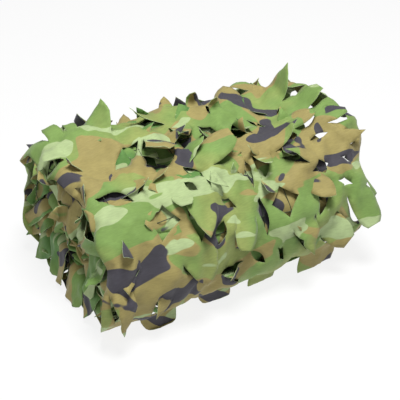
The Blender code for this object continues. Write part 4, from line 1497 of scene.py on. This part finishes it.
class NET_OT_string_mesh(bpy.types.Operator):
    """Makes the string net that carries the cloth, with a knot at each crossing"""

    bl_idname = "net.string_mesh"
    bl_label = "String mesh"

    def execute(self, context):
        look = context.scene.camouflage_net
        flat, edges, marks = string_lines(in_mm(look.mesh_pitch))
        along, around = (
            flat[:, axis] + 4.0 * folds(flat[:, 0], flat[:, 1], seed, 40.0, 40.0, 0.0)
            for axis, seed in enumerate((51.0, 57.0))
        )
        rise = 0.85 * hills_at(along, around) + 2.0 * folds(along, around, 61.0, 50.0, 50.0, 0.0)
        rise *= 1.0 - 0.7 * ramp(-along, 176.0, 30.0)
        tuck = np.where(along < 0.0, full_tuck(around), 0.4)
        deep = 7.0 + 6.0 * ramp(-along, 160.0, 40.0)
        laid = on_roll(along, around, deep, rise, tuck)
        source = add_mesh("string_lines", laid * MM, edges, [])
        mark = source.data.attributes.new("crossing", "BOOLEAN", "POINT")
        mark.data.foreach_set("value", marks)
        tree, names = string_tree()
        made = source.modifiers.new("strings", "NODES")
        made.node_group = tree
        made[names["Twine radius"]] = look.string_radius
        made[names["Knot radius"]] = KNOT_SHARE * look.string_radius
        made[names["Seed"]] = KNOT_SEED
        made[names["Finish"]] = material_named("twisted_twine", twine)
        graph = context.evaluated_depsgraph_get()
        result = bpy.data.meshes.new_from_object(source.evaluated_get(graph))
        bpy.data.objects.remove(source)
        result.name = "string_mesh"
        result.shade_smooth()
        obj = add_object("string_mesh", result)
        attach(obj, "root")
        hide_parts("string_net")
        return {"FINISHED"}


class NET_OT_stage(bpy.types.Operator):
    """Makes the pale floor, the soft lights and the camera"""

    bl_idname = "net.stage"
    bl_label = "Stage"

    def execute(self, context):
        scene = context.scene
        corners = FLOOR_HALF * np.array([(-1, -1, 0), (1, -1, 0), (1, 1, 0), (-1, 1, 0)])
        floor = add_mesh("floor", corners, [], [(0, 1, 2, 3)])
        # matt white paper, lit a little from within so that it stays pale in the shadow
        paper = bpy.data.materials.new("backdrop_paper")
        paper.use_nodes = True
        shader = paper.node_tree.nodes["Principled BSDF"]
        for name, value in (
            ("Base Color", (FLOOR_GREY, FLOOR_GREY, FLOOR_GREY, 1.0)),
            ("Roughness", 0.9),
            ("Specular IOR Level", 0.1),
            ("Emission Color", (1.0, 1.0, 1.0, 1.0)),
            ("Emission Strength", FLOOR_GLOW),
        ):
            shader.inputs[name].default_value = value
        floor.data.materials.append(paper)
        world = bpy.data.worlds.new("studio")
        world.use_nodes = True
        sky = world.node_tree.nodes["Background"]
        sky.inputs["Color"].default_value = (1.0, 1.0, 1.0, 1.0)
        sky.inputs["Strength"].default_value = SKY_STRENGTH
        scene.world = world
        target = Vector(CAMERA_TARGET)
        for name, place, size, power in SOFTBOXES:
            data = bpy.data.lights.new(name, "AREA")
            data.shape = "SQUARE"
            data.size = size
            data.energy = power
            lamp = add_object(name, data)
            lamp.location = place
            lamp.rotation_euler = (target - Vector(place)).to_track_quat("-Z", "Y").to_euler()
        turn, rise = math.radians(CAMERA_TURN), math.radians(CAMERA_RISE)
        back = Vector((math.sin(turn) * math.cos(rise), -math.cos(turn) * math.cos(rise), math.sin(rise)))
        data = bpy.data.cameras.new("camera")
        data.angle = math.radians(CAMERA_ANGLE)
        camera = add_object("camera", data)
        camera.location = target + back * CAMERA_AWAY
        camera.rotation_euler = (-back).to_track_quat("-Z", "Y").to_euler()
        scene.camera = camera
        scene.view_settings.view_transform = "Standard"
        return {"FINISHED"}


class NET_PT_panel(bpy.types.Panel):
    """Lists the net's sizes and colours, and its operators"""

    bl_label = "Camouflage net"
    bl_idname = "NET_PT_panel"
    bl_space_type = "VIEW_3D"
    bl_region_type = "UI"
    bl_category = "Camouflage net"

    def draw(self, context):
        look = context.scene.camouflage_net
        for name in NetLook.__annotations__:
            self.layout.prop(look, name)
        for operator in OPERATORS:
            self.layout.operator(operator.bl_idname)


OPERATORS = (
    NET_OT_outer_turn,
    NET_OT_under_ply,
    NET_OT_inner_turns,
    NET_OT_string_mesh,
    NET_OT_stage,
)
CLASSES = (NetLook, *OPERATORS, NET_PT_panel)


def register():
    for each in CLASSES:
        bpy.utils.register_class(each)
    bpy.types.Scene.camouflage_net = PointerProperty(type=NetLook)


def unregister():
    del bpy.types.Scene.camouflage_net
    for each in reversed(CLASSES):
        bpy.utils.unregister_class(each)


def main():
    register()
    bpy.ops.net.outer_turn()
    bpy.ops.net.under_ply()
    bpy.ops.net.inner_turns()
    bpy.ops.net.string_mesh()
    bpy.ops.net.stage()


if __name__ == "__main__":
    main()
